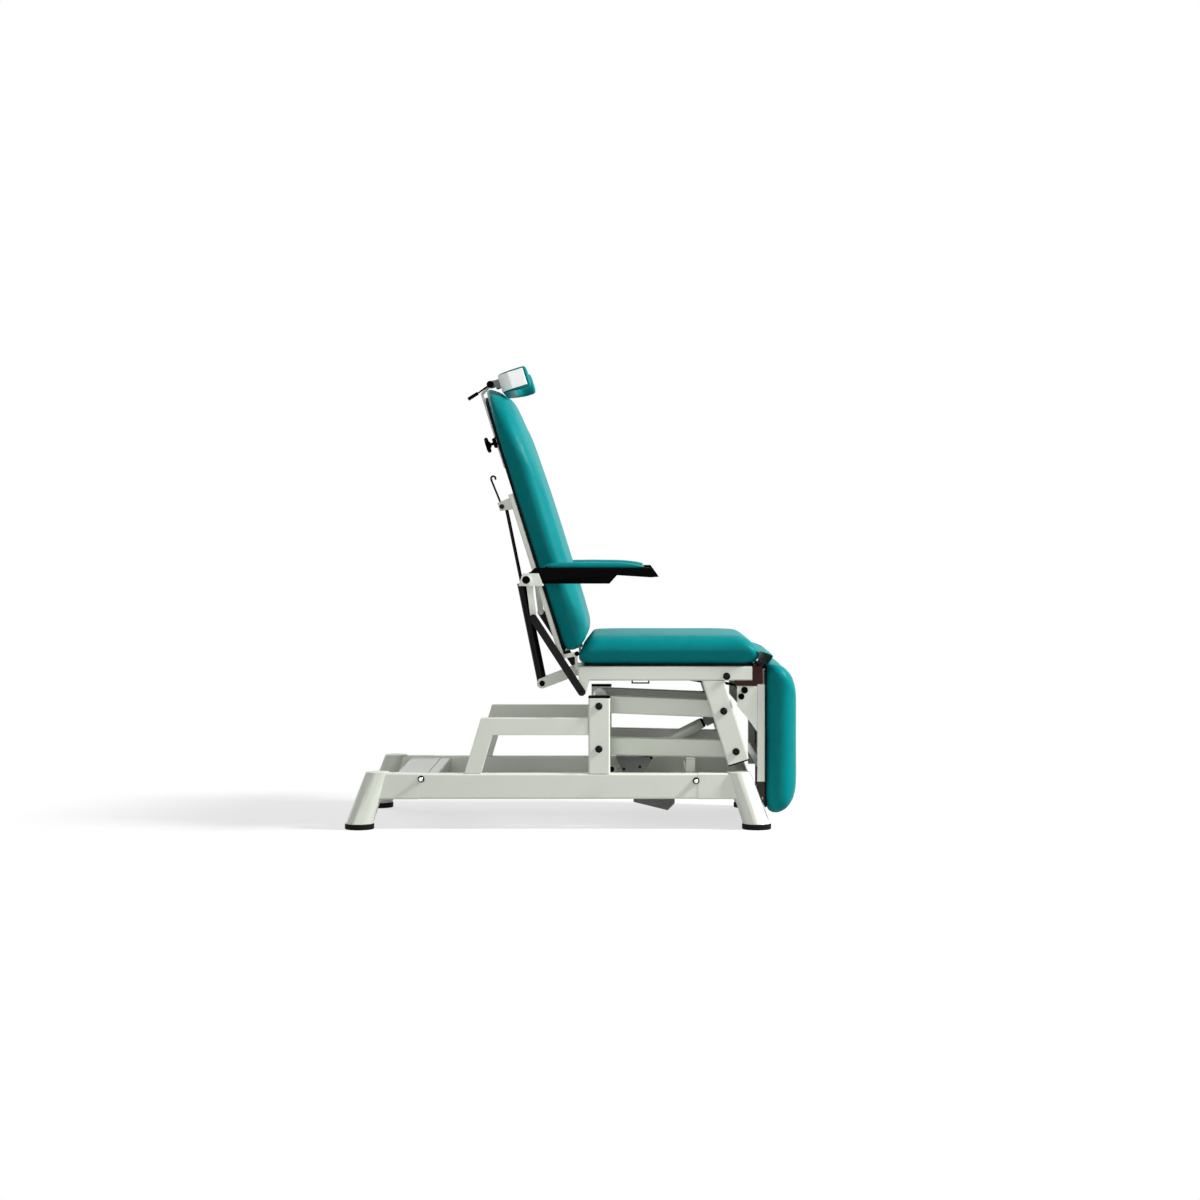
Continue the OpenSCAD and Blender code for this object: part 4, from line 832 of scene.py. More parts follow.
LEG_SHARES: tuple[Share, ...] = (
    (0.00, 0.30, 0.36, 0.70), (0.05, 0.14, 0.16, 0.50), (0.15, 0.04, 0.04, 0.28),
    (0.30, 0.02, 0.00, 0.09), (0.50, 0.20, 0.14, 0.01), (0.66, 0.50, 0.38, 0.12),
    (0.80, 0.96, 0.78, 0.42), (0.90, 1.60, 1.30, 0.92), (0.96, 2.50, 2.10, 1.70),
    (0.99, 4.20, 3.80, 3.30),
)
PAD_SHARES: tuple[Share, ...] = (
    (0.00, 0.10, 0.10, 0.30), (0.20, 0.00, 0.00, 0.00), (0.45, 0.20, 0.12, 0.10),
    (0.72, 0.80, 0.45, 0.60), (0.92, 1.70, 1.20, 1.60),
)


@dataclass(frozen=True)
class Cushion:
    """A crowned vinyl cushion, drawn from its plan and profile.

    Its sizes are in mm. Each row of shares is one ring: its share of the thickness, then how
    much of the far, near and side edges' insets it takes. The corners are far and near too.
    """

    name: str
    node: str
    body: str
    stand: Stand
    at: Place
    length: float
    width: float
    thick: float
    shares: tuple[Share, ...]
    insets: tuple[float, float, float]
    corners: tuple[float, float]
    pull: float
    blow: Blow = Blow(voxel=6.0, cap=6.0, shrink=3.0)
    fill: float = 0.8
    dent: Dent | None = None

    SIDE, END, CORNER, RINGS = 26, 22, 12, 44

    def _share(self, t: float) -> Share:
        """Reads the profile between its rings, on a smooth curve.

        Args:
            t: Share of the thickness.

        Returns:
            The ring at that height.
        """
        rows = np.array(self.shares)
        heights = rows[:, 0]
        i = int(np.clip(np.searchsorted(heights, t) - 1, 0, len(heights) - 2))
        h = heights[i + 1] - heights[i]
        s = (t - heights[i]) / h
        values = [t]
        for column in range(1, 4):
            slopes = np.gradient(rows[:, column], heights)
            value = (
                (2 * s**3 - 3 * s**2 + 1) * rows[i, column]
                + (s**3 - 2 * s**2 + s) * h * slopes[i]
                + (3 * s**2 - 2 * s**3) * rows[i + 1, column]
                + (s**3 - s**2) * h * slopes[i + 1]
            )
            values.append(max(0.0, value))
        return tuple(values)

    def _corner(self, x: float, y: float, radius: float, start: float) -> list[tuple[float, float]]:
        """Draws one rounded corner.

        Args:
            x: Its middle along the cushion.
            y: Its middle across.
            radius: Its radius.
            start: Where its quarter turn starts, in degrees.

        Returns:
            Its points.
        """
        angles = [math.radians(start + 90 * i / self.CORNER) for i in range(self.CORNER + 1)]
        return [(x + radius * math.cos(a), y + radius * math.sin(a)) for a in angles]

    def _side(self, start: float, end: float, half: float, sign: int) -> list[tuple[float, float]]:
        """Draws one long side, drawn in a little at its middle.

        Args:
            start: Where it starts along the cushion.
            end: Where it ends.
            half: Its distance from the middle.
            sign: 1 for the left side, -1 for the right.

        Returns:
            Its points, without those of the corners.
        """
        shares = [i / self.SIDE for i in range(1, self.SIDE)]
        return [
            (start + (end - start) * t, sign * (half - self.pull * 4 * t * (1 - t)))
            for t in shares
        ]

    def _ring(self, share: Share) -> list[Vector]:
        """Draws one closed ring round the cushion.

        Args:
            share: Height and insets of the ring.

        Returns:
            Its points, in mm, in the cushion's own frame.
        """
        height, far, near, side = share
        x0 = near * self.insets[1]
        x1 = self.length - far * self.insets[0]
        half = self.width / 2 - side * self.insets[2]
        r1, r0 = (min(radius, half * 0.9, (x1 - x0) * 0.45) for radius in self.corners)
        left, right = x0 + r0, x1 - r1
        steps = range(1, self.END)
        points = [
            *self._corner(right, half - r1, r1, 0),
            *self._side(right, left, half, 1),
            *self._corner(left, half - r0, r0, 90),
            *((x0, (half - r0) * (1 - 2 * i / self.END)) for i in steps),
            *self._corner(left, r0 - half, r0, 180),
            *self._side(left, right, half, -1),
            *self._corner(right, r1 - half, r1, 270),
            *((x1, (half - r1) * (2 * i / self.END - 1)) for i in steps),
        ]
        return [Vector((x, y, height * self.thick)) for x, y in points]

    def _shell(self) -> bmesh.types.BMesh:
        """Draws the closed starting form.

        Returns:
            The form, in mm, in the cushion's own frame.
        """
        last = self.shares[-1][0]
        rings = [self._ring(self._share(last * i / self.RINGS)) for i in range(self.RINGS + 1)]
        bm = bmesh.new()
        rows = [[bm.verts.new(point) for point in ring] for ring in rings]
        join_rows(bm, rows, closed=True)
        bm.faces.new(rows[0])
        count = len(rows[0])
        centre = sum(rings[-1], Vector()) / count
        centre.z = self.thick
        peak = bm.verts.new(centre)
        for i in range(count):
            bm.faces.new((rows[-1][i], rows[-1][(i + 1) % count], peak))
        return bm

    def build(self, palette: Palette) -> bpy.types.Object:
        """Args:
            palette: The chair's finishes.

        Returns:
            The finished piece.
        """
        bm = self._shell()
        bmesh.ops.triangulate(bm, faces=[face for face in bm.faces if len(face.verts) > 4])
        bmesh.ops.recalc_face_normals(bm, faces=bm.faces)
        place = self.stand.place(self.at) @ Matrix.Scale(MM, 4)
        bmesh.ops.transform(bm, matrix=place, verts=bm.verts)
        obj = make_object(self.name, bm)
        self.blow.finish(obj)
        if self.dent:
            self.dent.press(obj)
        palette.settle(obj, self.body, Slot.VINYL, self.node)
        return obj


@dataclass(frozen=True)
class HeadPadding:
    """The U-shaped roll in the head cradle, folded over the shell's edges.

    Its sizes are in mm, in the back's frame.
    """

    rear: float = 14.0
    half_width: float = 190.0
    shell: float = 4.0
    slack: float = 0.5
    pad: float = 30.0
    high: float = 62.0
    corner: float = 34.0
    shell_end: float = 88.0
    end_slack: float = 0.3
    wrap_slack: float = 0.4
    nose: float = 11.0
    nose_steps: tuple[float, ...] = (0.0, 1.5, 4.0)
    taper: tuple[float, ...] = (0.55, 0.80, 0.95)
    middle_u: float = 780.0
    floor_share: float = 0.10
    blow: Blow = Blow(voxel=3.0, cap=2.5, shrink=1.2)
    fill: float = 0.85

    FOLD, OUTER = -0.50, -0.65
    SECTION = (
        (FOLD, -0.37), (OUTER, -0.38), (-0.64, -0.44), (-0.56, -0.49), (-0.40, -0.50),
        (0.00, -0.50), (0.24, -0.48), (0.40, -0.42), (0.50, -0.30), (0.54, -0.15),
        (0.55, 0.00), (0.54, 0.15), (0.50, 0.30), (0.40, 0.42), (0.24, 0.48),
        (0.00, 0.50), (-0.46, 0.50), (-0.60, 0.49), (OUTER, 0.455), (OUTER, 0.44),
        (FOLD, 0.43),
    )
    WING, TURN, MIDDLE = 12, 14, 24

    def _path(self) -> list[tuple[float, float, float]]:
        """Sets out the roll's stations, from the right end to the left.

        Returns:
            For each of them n, y and the heading in degrees.
        """
        wall = self.shell + self.slack + self.pad / 2
        half = self.half_width - wall
        r = self.corner
        n0 = self.rear + wall
        end = self.shell_end + self.end_slack
        front = [end + self.nose - step for step in self.nose_steps] + [end + self.wrap_slack]
        front += [end + (n0 + r - end) * i / self.WING for i in range(self.WING + 1)]
        wing = [(n, -half, 180.0) for n in front]
        for i in range(1, self.TURN + 1):
            turn = 90 * i / self.TURN
            a = math.radians(turn)
            wing.append((n0 + r - r * math.sin(a), -half + r - r * math.cos(a), 180 - turn))
        middle = [
            (n0, (half - r) * (2 * i / self.MIDDLE - 1), 90.0) for i in range(1, self.MIDDLE)
        ]
        return wing + middle + [(n, -y, 180 - turn) for n, y, turn in reversed(wing)]

    def build(self, palette: Palette) -> bpy.types.Object:
        """Args:
            palette: The chair's finishes.

        Returns:
            The finished piece.
        """
        path = self._path()
        bm = bmesh.new()
        rows = []
        for i, (n, y, heading) in enumerate(path):
            from_end = min(i, len(path) - 1 - i)
            k = self.taper[from_end] if from_end < len(self.taper) else 1.0
            sine, cosine = math.sin(math.radians(heading)), math.cos(math.radians(heading))
            row = []
            for across, up in self.SECTION:
                if from_end <= len(self.taper) and across == self.FOLD:
                    across = self.OUTER
                up = max(up, self.floor_share * sine - 0.5)
                w = across * self.pad * k
                row.append(bm.verts.new(back_point(
                    n + w * sine, y - w * cosine, self.middle_u + up * self.high * k,
                )))
            rows.append(row)
        join_rows(bm, rows, closed=True)
        bm.faces.new(rows[0])
        bm.faces.new(rows[-1])
        bmesh.ops.triangulate(bm, faces=[face for face in bm.faces if len(face.verts) > 4])
        obj = make_object("head_padding", bm)
        self.blow.finish(obj)
        palette.settle(obj, "headrest", Slot.VINYL, "headrest_padding")
        return obj


@dataclass(frozen=True)
class Upholstery:
    """The seat, back and leg cushions, the arm pads and the head padding."""

    palette: Palette
    main: tuple[Cushion, ...] = (
        Cushion(
            "seat_padding", "seat_cushion", "carriage", Stand.FLAT, (0.017, 0, 0.456),
            length=506, width=620, thick=82, shares=SEAT_SHARES, insets=(46, 40, 38),
            corners=(30, 30), pull=5, dent=Dent(side=271.5, reach=7.0, depth=22.6),
        ),
        Cushion(
            "back_padding", "back_cushion", "backrest", Stand.LEANING, (-0.033, 0, 0.008),
            length=777, width=620, thick=85, shares=BACK_SHARES, insets=(250, 30, 38),
            corners=(200, 26), pull=5,
        ),
        Cushion(
            "leg_padding", "leg_cushion", "leg_rest", Stand.UPRIGHT, (0.540, 0, 0.040),
            length=418, width=620, thick=86.5, shares=LEG_SHARES, insets=(36, 40, 38),
            corners=(34, 34), pull=5,
        ),
    )
    arm_at: Place = (-0.076, 0.355, 0.723)
    head: HeadPadding = HeadPadding()

    def _arm_pad(self, side: int, word: str) -> Cushion:
        """Sizes the pad of one armrest.

        Args:
            side: -1 for the right, 1 for the left.
            word: The side's word.

        Returns:
            The pad.
        """
        x, y, z = self.arm_at
        return Cushion(
            f"arm_padding_{word}", f"armrest_pad_{word}", f"armrest_{word}", Stand.FLAT,
            (x, side * y, z), length=280, width=64, thick=16, shares=PAD_SHARES,
            insets=(40, 34, 7), corners=(22, 22), pull=0,
            blow=Blow(voxel=3.0, cap=2.0, shrink=1.0), fill=0.7,
        )

    def build(self) -> None:
        """Builds every padded piece."""
        for cushion in (*self.main, *(self._arm_pad(side, word) for side, word in SIDES)):
            cushion.build(self.palette)
        self.head.build(self.palette)


FINE: dict[tuple[Slot, float], tuple[str, ...]] = {
    (Slot.PAINT, 0.6): (
        "side_rails", "posts", "lower_arms", "upper_arms", "carriage_legs", "seat_side_tubes",
        "seat_cross_tubes", "back_side_tubes", "spring_bracket", "leg_side_tubes",
        "leg_cross_tubes",
    ),
    (Slot.PAINT, 0.5): ("rail_sleeves",),
    (Slot.PAINT, 3.0): ("feet",),
    (Slot.RUBBER, 1.6): ("foot_pads",),
    (Slot.PAINT, 0.8): (
        "base_cross_tubes", "rear_cross_plate", "lower_cross_tubes", "upper_cross_tubes",
        "lift_tube", "back_spring_arm", "headrest_bar", "drop_arm_right", "drop_arm_left",
        "armrest_bracket_right", "armrest_bracket_left",
    ),
    (Slot.PAINT, 3.2): ("subframes",),
    (Slot.BLACK, 1.2): ("base_caps", "base_bolts", "carriage_leg_caps"),
    (Slot.BLACK_STEEL, 0.6): ("rail_studs", "leg_spring_rod", "leg_release_lever"),
    (Slot.PAINT, 1.0): ("stop_posts",),
    (Slot.GREY, 3.0): ("lift_motor",),
    (Slot.GREY, 0.6): ("lift_rod",),
    (Slot.BLACK_STEEL, 1.0): (
        "seat_front_blocks", "back_spring_cylinder", "level_link_right", "level_link_left",
        "leg_spring_cylinder",
    ),
    (Slot.BOARD, 1.0): ("seat_board", "back_board"),
    (Slot.BLACK_STEEL, 0.5): ("wire_handle", "release_lever"),
    (Slot.BLACK, 0.9): ("carriage_bolts",),
    (Slot.BLACK, 1.6): ("headrest_guide",),
    (Slot.BLACK_STEEL, 0.4): ("back_spring_rod",),
    (Slot.GREY, 1.2): ("headrest_block",),
    (Slot.WHITE, 1.2): ("headrest_shell",),
    (Slot.BLACK, 1.0): ("headrest_lever",),
    (Slot.BLACK, 3.0): ("armrest_body_right", "armrest_body_left"),
    (Slot.BOARD, 0.8): ("leg_board",),
}


@dataclass(frozen=True)
class Rim:
    """How a board's rim is drawn in, so the cushion's lower edge covers it.

    The widths are shares of the board's own, and its top's drop is in metres.
    """

    along: float = 1.0
    across: float = 0.935
    across_top: float = 1.0
    drop: float = 0.0
    half_height: float = 0.37

    def draw_in(self, board: bpy.types.Object) -> None:
        """Moves the board's points.

        Args:
            board: The fine copy of a board.
        """
        points = board.data.vertices
        middle = sum((point.co for point in points), Vector()) / len(points)
        down = Vector((math.sin(BACK_LEAN), 0.0, -math.cos(BACK_LEAN)))
        for point in points:
            offset = point.co - middle
            offset.y *= self.across
            if offset.z > 0:
                offset *= self.across_top
            point.co.y = offset.y + middle.y
            if self.along != 1.0:
                point.co.x = middle.x + offset.x * self.along
            if offset.z > 0:
                point.co += down * (self.drop * offset.z / self.half_height)


@dataclass(frozen=True)
class Frame:
    """Every rigid piece of the chair; the buffers end below a height in metres."""

    palette: Palette
    buffer_top: float = 0.25
    seat_rim: Rim = Rim(along=0.96)
    back_rim: Rim = Rim(across_top=0.978, drop=0.022)
    leg_rim: Rim = Rim()
    block: Moulded = Moulded("brown_block", (0.030, 0.009, 0.006), 0.5, shine=0.1)

    def build(self) -> None:
        """Builds the fine copy of each rigid node."""
        refiner = Refiner(self.palette)
        fine = {
            node: refiner.refine(node, slot, edge)
            for (slot, edge), nodes in FINE.items() for node in nodes
        }
        self._pale_buffers(fine["base_caps"])
        self.seat_rim.draw_in(fine["seat_board"])
        self.back_rim.draw_in(fine["back_board"])
        self.leg_rim.draw_in(fine["leg_board"])
        fine["seat_front_blocks"].data.materials[0] = self.block.make()

    def _pale_buffers(self, caps: bpy.types.Object) -> None:
        """Moves the low stop buffers out of the caps' mesh into a pale piece.

        Args:
            caps: The fine copy of the caps and buffers.
        """
        buffers, rest = bmesh.new(), bmesh.new()
        for bm, low in ((buffers, True), (rest, False)):
            bm.from_mesh(caps.data)
            spare = [
                face for face in bm.faces
                if (face.calc_center_median().z < self.buffer_top) != low
            ]
            bmesh.ops.delete(bm, geom=spare, context="FACES")
        piece = make_object("stop_buffers_fine", buffers)
        smooth_by_angle(piece)
        self.palette.settle(piece, "base", Slot.PAINT, "base_caps")
        rest.to_mesh(caps.data)
        rest.free()


def turned(
    profile: Profile, start: Vector, axis: Vector,
    lobes: int = 0, depth: float = 0.0, sides: int = 40, ring: bool = False,
) -> bmesh.types.BMesh:
    """Turns a profile round an axis, as on a lathe.

    Args:
        profile: Distance along the axis and radius, in mm, in order.
        start: Where the axis starts, in metres.
        axis: Its direction.
        lobes: Number of lobes round the widest part.
        depth: Height of the lobes as a share of the radius.
        sides: Faces round the axis.
        ring: Whether the profile closes on itself, round a bore.

    Returns:
        The closed mesh in the row frame.
    """
    along = axis.normalized()
    across = along.orthogonal().normalized()
    third = along.cross(across)
    widest = max(r for _, r in profile)
    bm = bmesh.new()
    rows = []
    for distance, radius in profile:
        if radius < 1e-6:
            rows.append([bm.verts.new(start + along * distance * MM)])
            continue
        row = []
        for i in range(sides):
            a = math.tau * i / sides
            r = radius * (1 + (radius / widest) ** 3 * depth * math.cos(lobes * a))
            out = along * distance + across * r * math.cos(a) + third * r * math.sin(a)
            row.append(bm.verts.new(start + out * MM))
        rows.append(row)
    pairs = list(zip(rows, rows[1:])) + ([(rows[-1], rows[0])] if ring else [])
    for low, high in pairs:
        for i in range(sides):
            j = (i + 1) % sides
            corners = (
                low[i % len(low)], low[j % len(low)], high[j % len(high)], high[i % len(high)],
            )
            unique = list(dict.fromkeys(corners))
            if len(unique) > 2:
                bm.faces.new(unique)
    return bm


def rod_along(points: list[Vector], radius: float, sides: int = 12) -> bmesh.types.BMesh:
    """Sweeps a round rod along a path.

    Args:
        points: The path, in metres.
        radius: The rod's radius in mm.
        sides: Faces round the rod.

    Returns:
        The closed mesh.
    """
    bm = bmesh.new()
    rows = []
    side = (points[1] - points[0]).orthogonal().normalized()
    turns = [math.tau * k / sides for k in range(sides)]
    for i, point in enumerate(points):
        ahead = (points[min(i + 1, len(points) - 1)] - points[max(i - 1, 0)]).normalized()
        side = (side - ahead * side.dot(ahead)).normalized()
        up = ahead.cross(side)
        rows.append([
            bm.verts.new(point + (side * math.cos(a) + up * math.sin(a)) * radius * MM)
            for a in turns
        ])
    join_rows(bm, rows, closed=True)
    bm.faces.new(rows[0])
    bm.faces.new(rows[-1])
    return bm


class Rig(Sheet):
    """A Geometry Nodes tree with named inputs, the first of them its finish."""

    def __init__(self, name: str, **inputs: int | float) -> None:
        """Starts a tree.

        Args:
            name: The tree's name.
            inputs: First value of each size by its name.
        """
        super().__init__(bpy.data.node_groups.new(name, "GeometryNodeTree"))
        face = self.tree.interface
        face.new_socket("Geometry", in_out="INPUT", socket_type="NodeSocketGeometry")
        finish = face.new_socket("Finish", in_out="INPUT", socket_type="NodeSocketMaterial")
        self.keys = {"Finish": finish.identifier}
        self.values = inputs
        for label, value in inputs.items():
            kind = "NodeSocketInt" if isinstance(value, int) else "NodeSocketFloat"
            item = face.new_socket(label, in_out="INPUT", socket_type=kind)
            item.default_value = value
            self.keys[label] = item.identifier
        face.new_socket("Geometry", in_out="OUTPUT", socket_type="NodeSocketGeometry")
        self.start = self.tree.nodes.new("NodeGroupInput")

    def wire(self, label: str) -> Wire:
        """Returns the tree's input of a name."""
        return Wire(self, self.start.outputs[label])

    def finish(self, mesh: bpy.types.NodeSocket) -> None:
        """Ends the tree: real copies, then the finish.

        Args:
            mesh: The output that holds the copies.
        """
        real = self.node("GeometryNodeRealizeInstances", inputs={0: mesh})
        painted = self.node("GeometryNodeSetMaterial", inputs={
            "Geometry": real.outputs[0], "Material": self.wire("Finish"),
        })
        self.node("NodeGroupOutput", inputs={0: painted.outputs[0]})

    def run(self, obj: bpy.types.Object, finish: bpy.types.Material) -> None:
        """Runs the tree on an object and keeps the result as its mesh.

        Args:
            obj: The object with the points or the path.
            finish: The material of the copies.
        """
        mod = obj.modifiers.new("Rig", "NODES")
        mod.node_group = self.tree
        for label, value in {"Finish": finish, **self.values}.items():
            mod[self.keys[label]] = value
        apply_modifiers(obj)
        bm = bmesh.new()
        bm.from_mesh(obj.data)
        bmesh.ops.remove_doubles(bm, verts=bm.verts, dist=1e-6)
        bmesh.ops.recalc_face_normals(bm, faces=bm.faces)
        bm.to_mesh(obj.data)
        bm.free()


class Head(Enum):
    """Profiles of screw heads and caps: radius and height shares."""

    DOME = ((0, 0), (1, 0), (1, 0.35), (0.93, 0.62), (0.72, 0.88), (0.47, 1.0), (0.42, 0.96),
            (0.42, 0.45), (0, 0.45))
    CAP = ((0, 0), (1, 0), (1, 0.6), (0.94, 0.9), (0.84, 1.0), (0.62, 0.72), (0.34, 0.66),
           (0.3, 0.9), (0, 0.9))


@dataclass(frozen=True)
class Fitting:
    """One screw head or cap on the left side, in mm, with a twin on the right.

    Braces in the body's name stand for the side's word.
    """

    body: str
    slot: Slot
    head: Head
    at: Place
    radius: float
    height: float
    facing: Place = (0.0, 1.0, 0.0)

    def both(self) -> list["Fitting"]:
        """Sets the fitting out on both sides.

        Returns:
            The one on the right and the one on the left.
        """
        return [
            replace(
                self, body=self.body.format(word), at=(self.at[0], side * self.at[1], self.at[2]),
                facing=(self.facing[0], side * self.facing[1], self.facing[2]),
            )
            for side, word in SIDES
        ]


FITTINGS: tuple[Fitting, ...] = (
    Fitting("base", Slot.STEEL, Head.DOME, (-414.6, 312.0, 139.4), 6.0, 3.2),
    Fitting("base", Slot.STEEL, Head.DOME, (344.4, 312.0, 134.7), 6.0, 3.2),
    Fitting("base", Slot.BLACK_STEEL, Head.DOME, (76.0, 306.0, 340.0), 8.2, 3.4),
    Fitting("base", Slot.BLACK_STEEL, Head.DOME, (76.0, 306.0, 222.0), 8.2, 3.4),
    Fitting("carriage", Slot.BLACK_STEEL, Head.DOME, (455.0, 296.0, 214.0), 8.2, 3.2),
    Fitting("carriage", Slot.BLACK_STEEL, Head.DOME, (421.0, 296.0, 326.0), 8.2, 3.2),
    Fitting("carriage", Slot.BLACK_STEEL, Head.DOME, (429.0, 296.0, 422.5), 7.6, 3.0),
    Fitting("carriage", Slot.BLACK_STEEL, Head.CAP, (28.4, 308.3, 378.9), 8.4, 2.4),
    Fitting("lift_motor", Slot.BLACK_STEEL, Head.DOME, (144.5, 34.0, 142.6), 4.2, 2.4),
    Fitting("lift_motor", Slot.BLACK_STEEL, Head.DOME, (190.4, 34.0, 148.9), 4.2, 2.4),
    Fitting("lift_motor", Slot.BLACK_STEEL, Head.DOME, (222.7, 34.0, 174.6), 4.2, 2.4),
    Fitting("leg_rest", Slot.BLACK, Head.CAP, (478.4, 290.0, 384.1), 9.5, 6.0),
    Fitting("leg_rest", Slot.BLACK, Head.CAP, (469.5, 290.0, 366.5), 8.6, 6.0),
    Fitting("drop_arm_{}", Slot.BLACK, Head.CAP, (-121.0, 396.0, 690.5), 10.8, 3.4),
    Fitting("drop_arm_{}", Slot.BLACK_STEEL, Head.CAP, (-105.2, 308.3, 583.6), 10.4, 2.6),
    *(
        Fitting("leg_rest", Slot.STEEL, Head.DOME, (535.0, 180.0, 45.0 + up), 4.2, 2.0,
                facing=(-1.0, 0.0, 0.0))
        for up in (30.0, 150.0, 270.0, 390.0)
    ),
)


@dataclass(frozen=True)
class Fittings:
    """Every screw head, cap and stud end, set out by one node tree for each profile."""

    palette: Palette
    around: int = 24
    weld: float = 0.0001
    sharp_degrees: float = 38.0

    def _rig(self, head: Head) -> Rig:
        """Draws the tree that turns one profile and sets it on every point.

        Args:
            head: The profile.

        Returns:
            The tree.
        """
        rig = Rig(f"set_{head.name.lower()}_heads", Sides=self.around)
        grid = rig.node("GeometryNodeMeshGrid", inputs={
            "Size X": 1.0, "Size Y": 1.0, "Vertices X": len(head.value),
            "Vertices Y": rig.wire("Sides") + 1.0,
        })
        spot = rig.node("GeometryNodeInputPosition")
        split = rig.node("ShaderNodeSeparateXYZ", inputs={0: spot.outputs[0]})
        share = Wire(rig, split.outputs["X"]) + 0.5
        angle = (Wire(rig, split.outputs["Y"]) + 0.5) * math.tau
        radius, height = (self._table(rig, share, [p[i] for p in head.value]) for i in (0, 1))
        turned_spot = rig.node("ShaderNodeCombineXYZ", inputs={
            "X": radius * angle.cos(), "Y": radius * angle.sin(), "Z": height,
        })
        moved = rig.node("GeometryNodeSetPosition", inputs={
            "Geometry": grid.outputs["Mesh"], "Position": turned_spot.outputs[0],
        })
        joined = rig.node("GeometryNodeMergeByDistance", inputs={
            "Geometry": moved.outputs[0], "Distance": self.weld,
        })
        vector = {"data_type": "FLOAT_VECTOR"}
        facing, size = (
            rig.node("GeometryNodeInputNamedAttribute", vector, {"Name": name})
            for name in ("facing", "size")
        )
        turn = rig.node("FunctionNodeAlignRotationToVector", {"axis": "Z"}, {
            "Vector": facing.outputs["Attribute"],
        })
        copies = rig.node("GeometryNodeInstanceOnPoints", inputs={
            "Points": rig.start.outputs["Geometry"], "Instance": joined.outputs[0],
            "Rotation": turn.outputs[0], "Scale": size.outputs["Attribute"],
        })
        rig.finish(copies.outputs[0])
        return rig

    @staticmethod
    def _table(rig: Rig, share: Wire, values: list[float]) -> Wire:
        """Reads a list of values by a share, straight between entries.

        Args:
            rig: The tree.
            share: Place in the list, from 0 to 1.
            values: The list.

        Returns:
            The value.
        """
        node = rig.node("ShaderNodeFloatCurve", inputs={"Value": share})
        points = node.mapping.curves[0].points
        last = len(values) - 1
        for i in range(1, last):
            points.new(i / last, values[i])
        for i, value in enumerate(values):
            points[i].location = (i / last, value)
            points[i].handle_type = "VECTOR"
        node.mapping.update()
        return Wire(rig, node.outputs[0])

    def build(self) -> None:
        """Builds the fittings, one piece for each body, finish and profile."""
        rigs = {head: self._rig(head) for head in Head}
        groups: dict[tuple[str, Slot, Head], list[Fitting]] = {}
        for fitting in FITTINGS:
            for item in fitting.both():
                groups.setdefault((item.body, item.slot, item.head), []).append(item)
        for (body, slot, head), items in groups.items():
            name = f"{body}_{slot.value}_{head.name.lower()}s"
            mesh = bpy.data.meshes.new(name)
            mesh.from_pydata([tuple(c * MM for c in item.at) for item in items], [], [])
            facing = mesh.attributes.new("facing", "FLOAT_VECTOR", "POINT")
            size = mesh.attributes.new("size", "FLOAT_VECTOR", "POINT")
            for i, item in enumerate(items):
                facing.data[i].vector = item.facing
                size.data[i].vector = (item.radius * MM, item.radius * MM, item.height * MM)
            obj = add_object(name, mesh)
            rigs[head].run(obj, self.palette.by_slot[slot])
            smooth_by_angle(obj, self.sharp_degrees)
            self.palette.settle(obj, body, slot)


@dataclass(frozen=True)
class Staples:
    """Wire staples that hold the vinyl to the back board, in an arch.

    The staples' sizes are in metres, the arch's places in mm in the back's frame.
    """

    palette: Palette
    spacing: float = 0.018
    crown: float = 0.010
    wire: float = 0.0007
    arch_n: float = -39.4
    arch_foot: float = 484.0
    arch_spring: float = 572.0
    arch_half: float = 262.0
    arch_radius: float = 172.0

    def _rig(self) -> Rig:
        """Draws the tree that sets one staple at every step of a path.

        Returns:
            The tree.
        """
        rig = Rig("set_staples", Spacing=self.spacing, Crown=self.crown, Wire=self.wire)
        path = rig.node("GeometryNodeMeshToCurve", inputs={"Mesh": rig.start.outputs["Geometry"]})
        points = rig.node("GeometryNodeCurveToPoints", {"mode": "LENGTH"}, {
            "Curve": path.outputs[0], "Length": rig.wire("Spacing"),
        })
        turn = rig.node("FunctionNodeAlignRotationToVector", {"axis": "X"}, {
            "Vector": points.outputs["Tangent"],
        })
        start, end = (
            rig.node("ShaderNodeCombineXYZ", inputs={"X": rig.wire("Crown") * side}).outputs[0]
            for side in (-0.5, 0.5)
        )
        line = rig.node("GeometryNodeCurvePrimitiveLine", inputs={"Start": start, "End": end})
        ring = rig.node("GeometryNodeCurvePrimitiveCircle", inputs={
            "Resolution": 6, "Radius": rig.wire("Wire"),
        })
        crown = rig.node("GeometryNodeCurveToMesh", inputs={
            "Curve": line.outputs[0], "Profile Curve": ring.outputs[0], "Fill Caps": True,
        })
        copies = rig.node("GeometryNodeInstanceOnPoints", inputs={
            "Points": points.outputs["Points"], "Instance": crown.outputs[0],
            "Rotation": turn.outputs[0],
        })
        rig.finish(copies.outputs[0])
        return rig

    def _arch(self) -> list[Vector]:
        """Draws the path up one side of the board, over its top and down the other.

        Returns:
            Its points, in metres.
        """
        across = self.arch_half - self.arch_radius
        path = [back_point(self.arch_n, self.arch_half, self.arch_foot)]
        for turn in range(0, 91, 6):
            a = math.radians(turn)
            path.append(back_point(
                self.arch_n, across + self.arch_radius * math.cos(a),
                self.arch_spring + self.arch_radius * math.sin(a),
            ))
        return path + [Vector((p.x, -p.y, p.z)) for p in reversed(path)]

    def build(self) -> None:
        """Builds the staples."""
        path = self._arch()
        mesh = bpy.data.meshes.new("back_staples")
        mesh.from_pydata(path, [(i, i + 1) for i in range(len(path) - 1)], [])
        obj = add_object("back_staples", mesh)
        self._rig().run(obj, self.palette.by_slot[Slot.STEEL])
        self.palette.settle(obj, "backrest", Slot.STEEL)


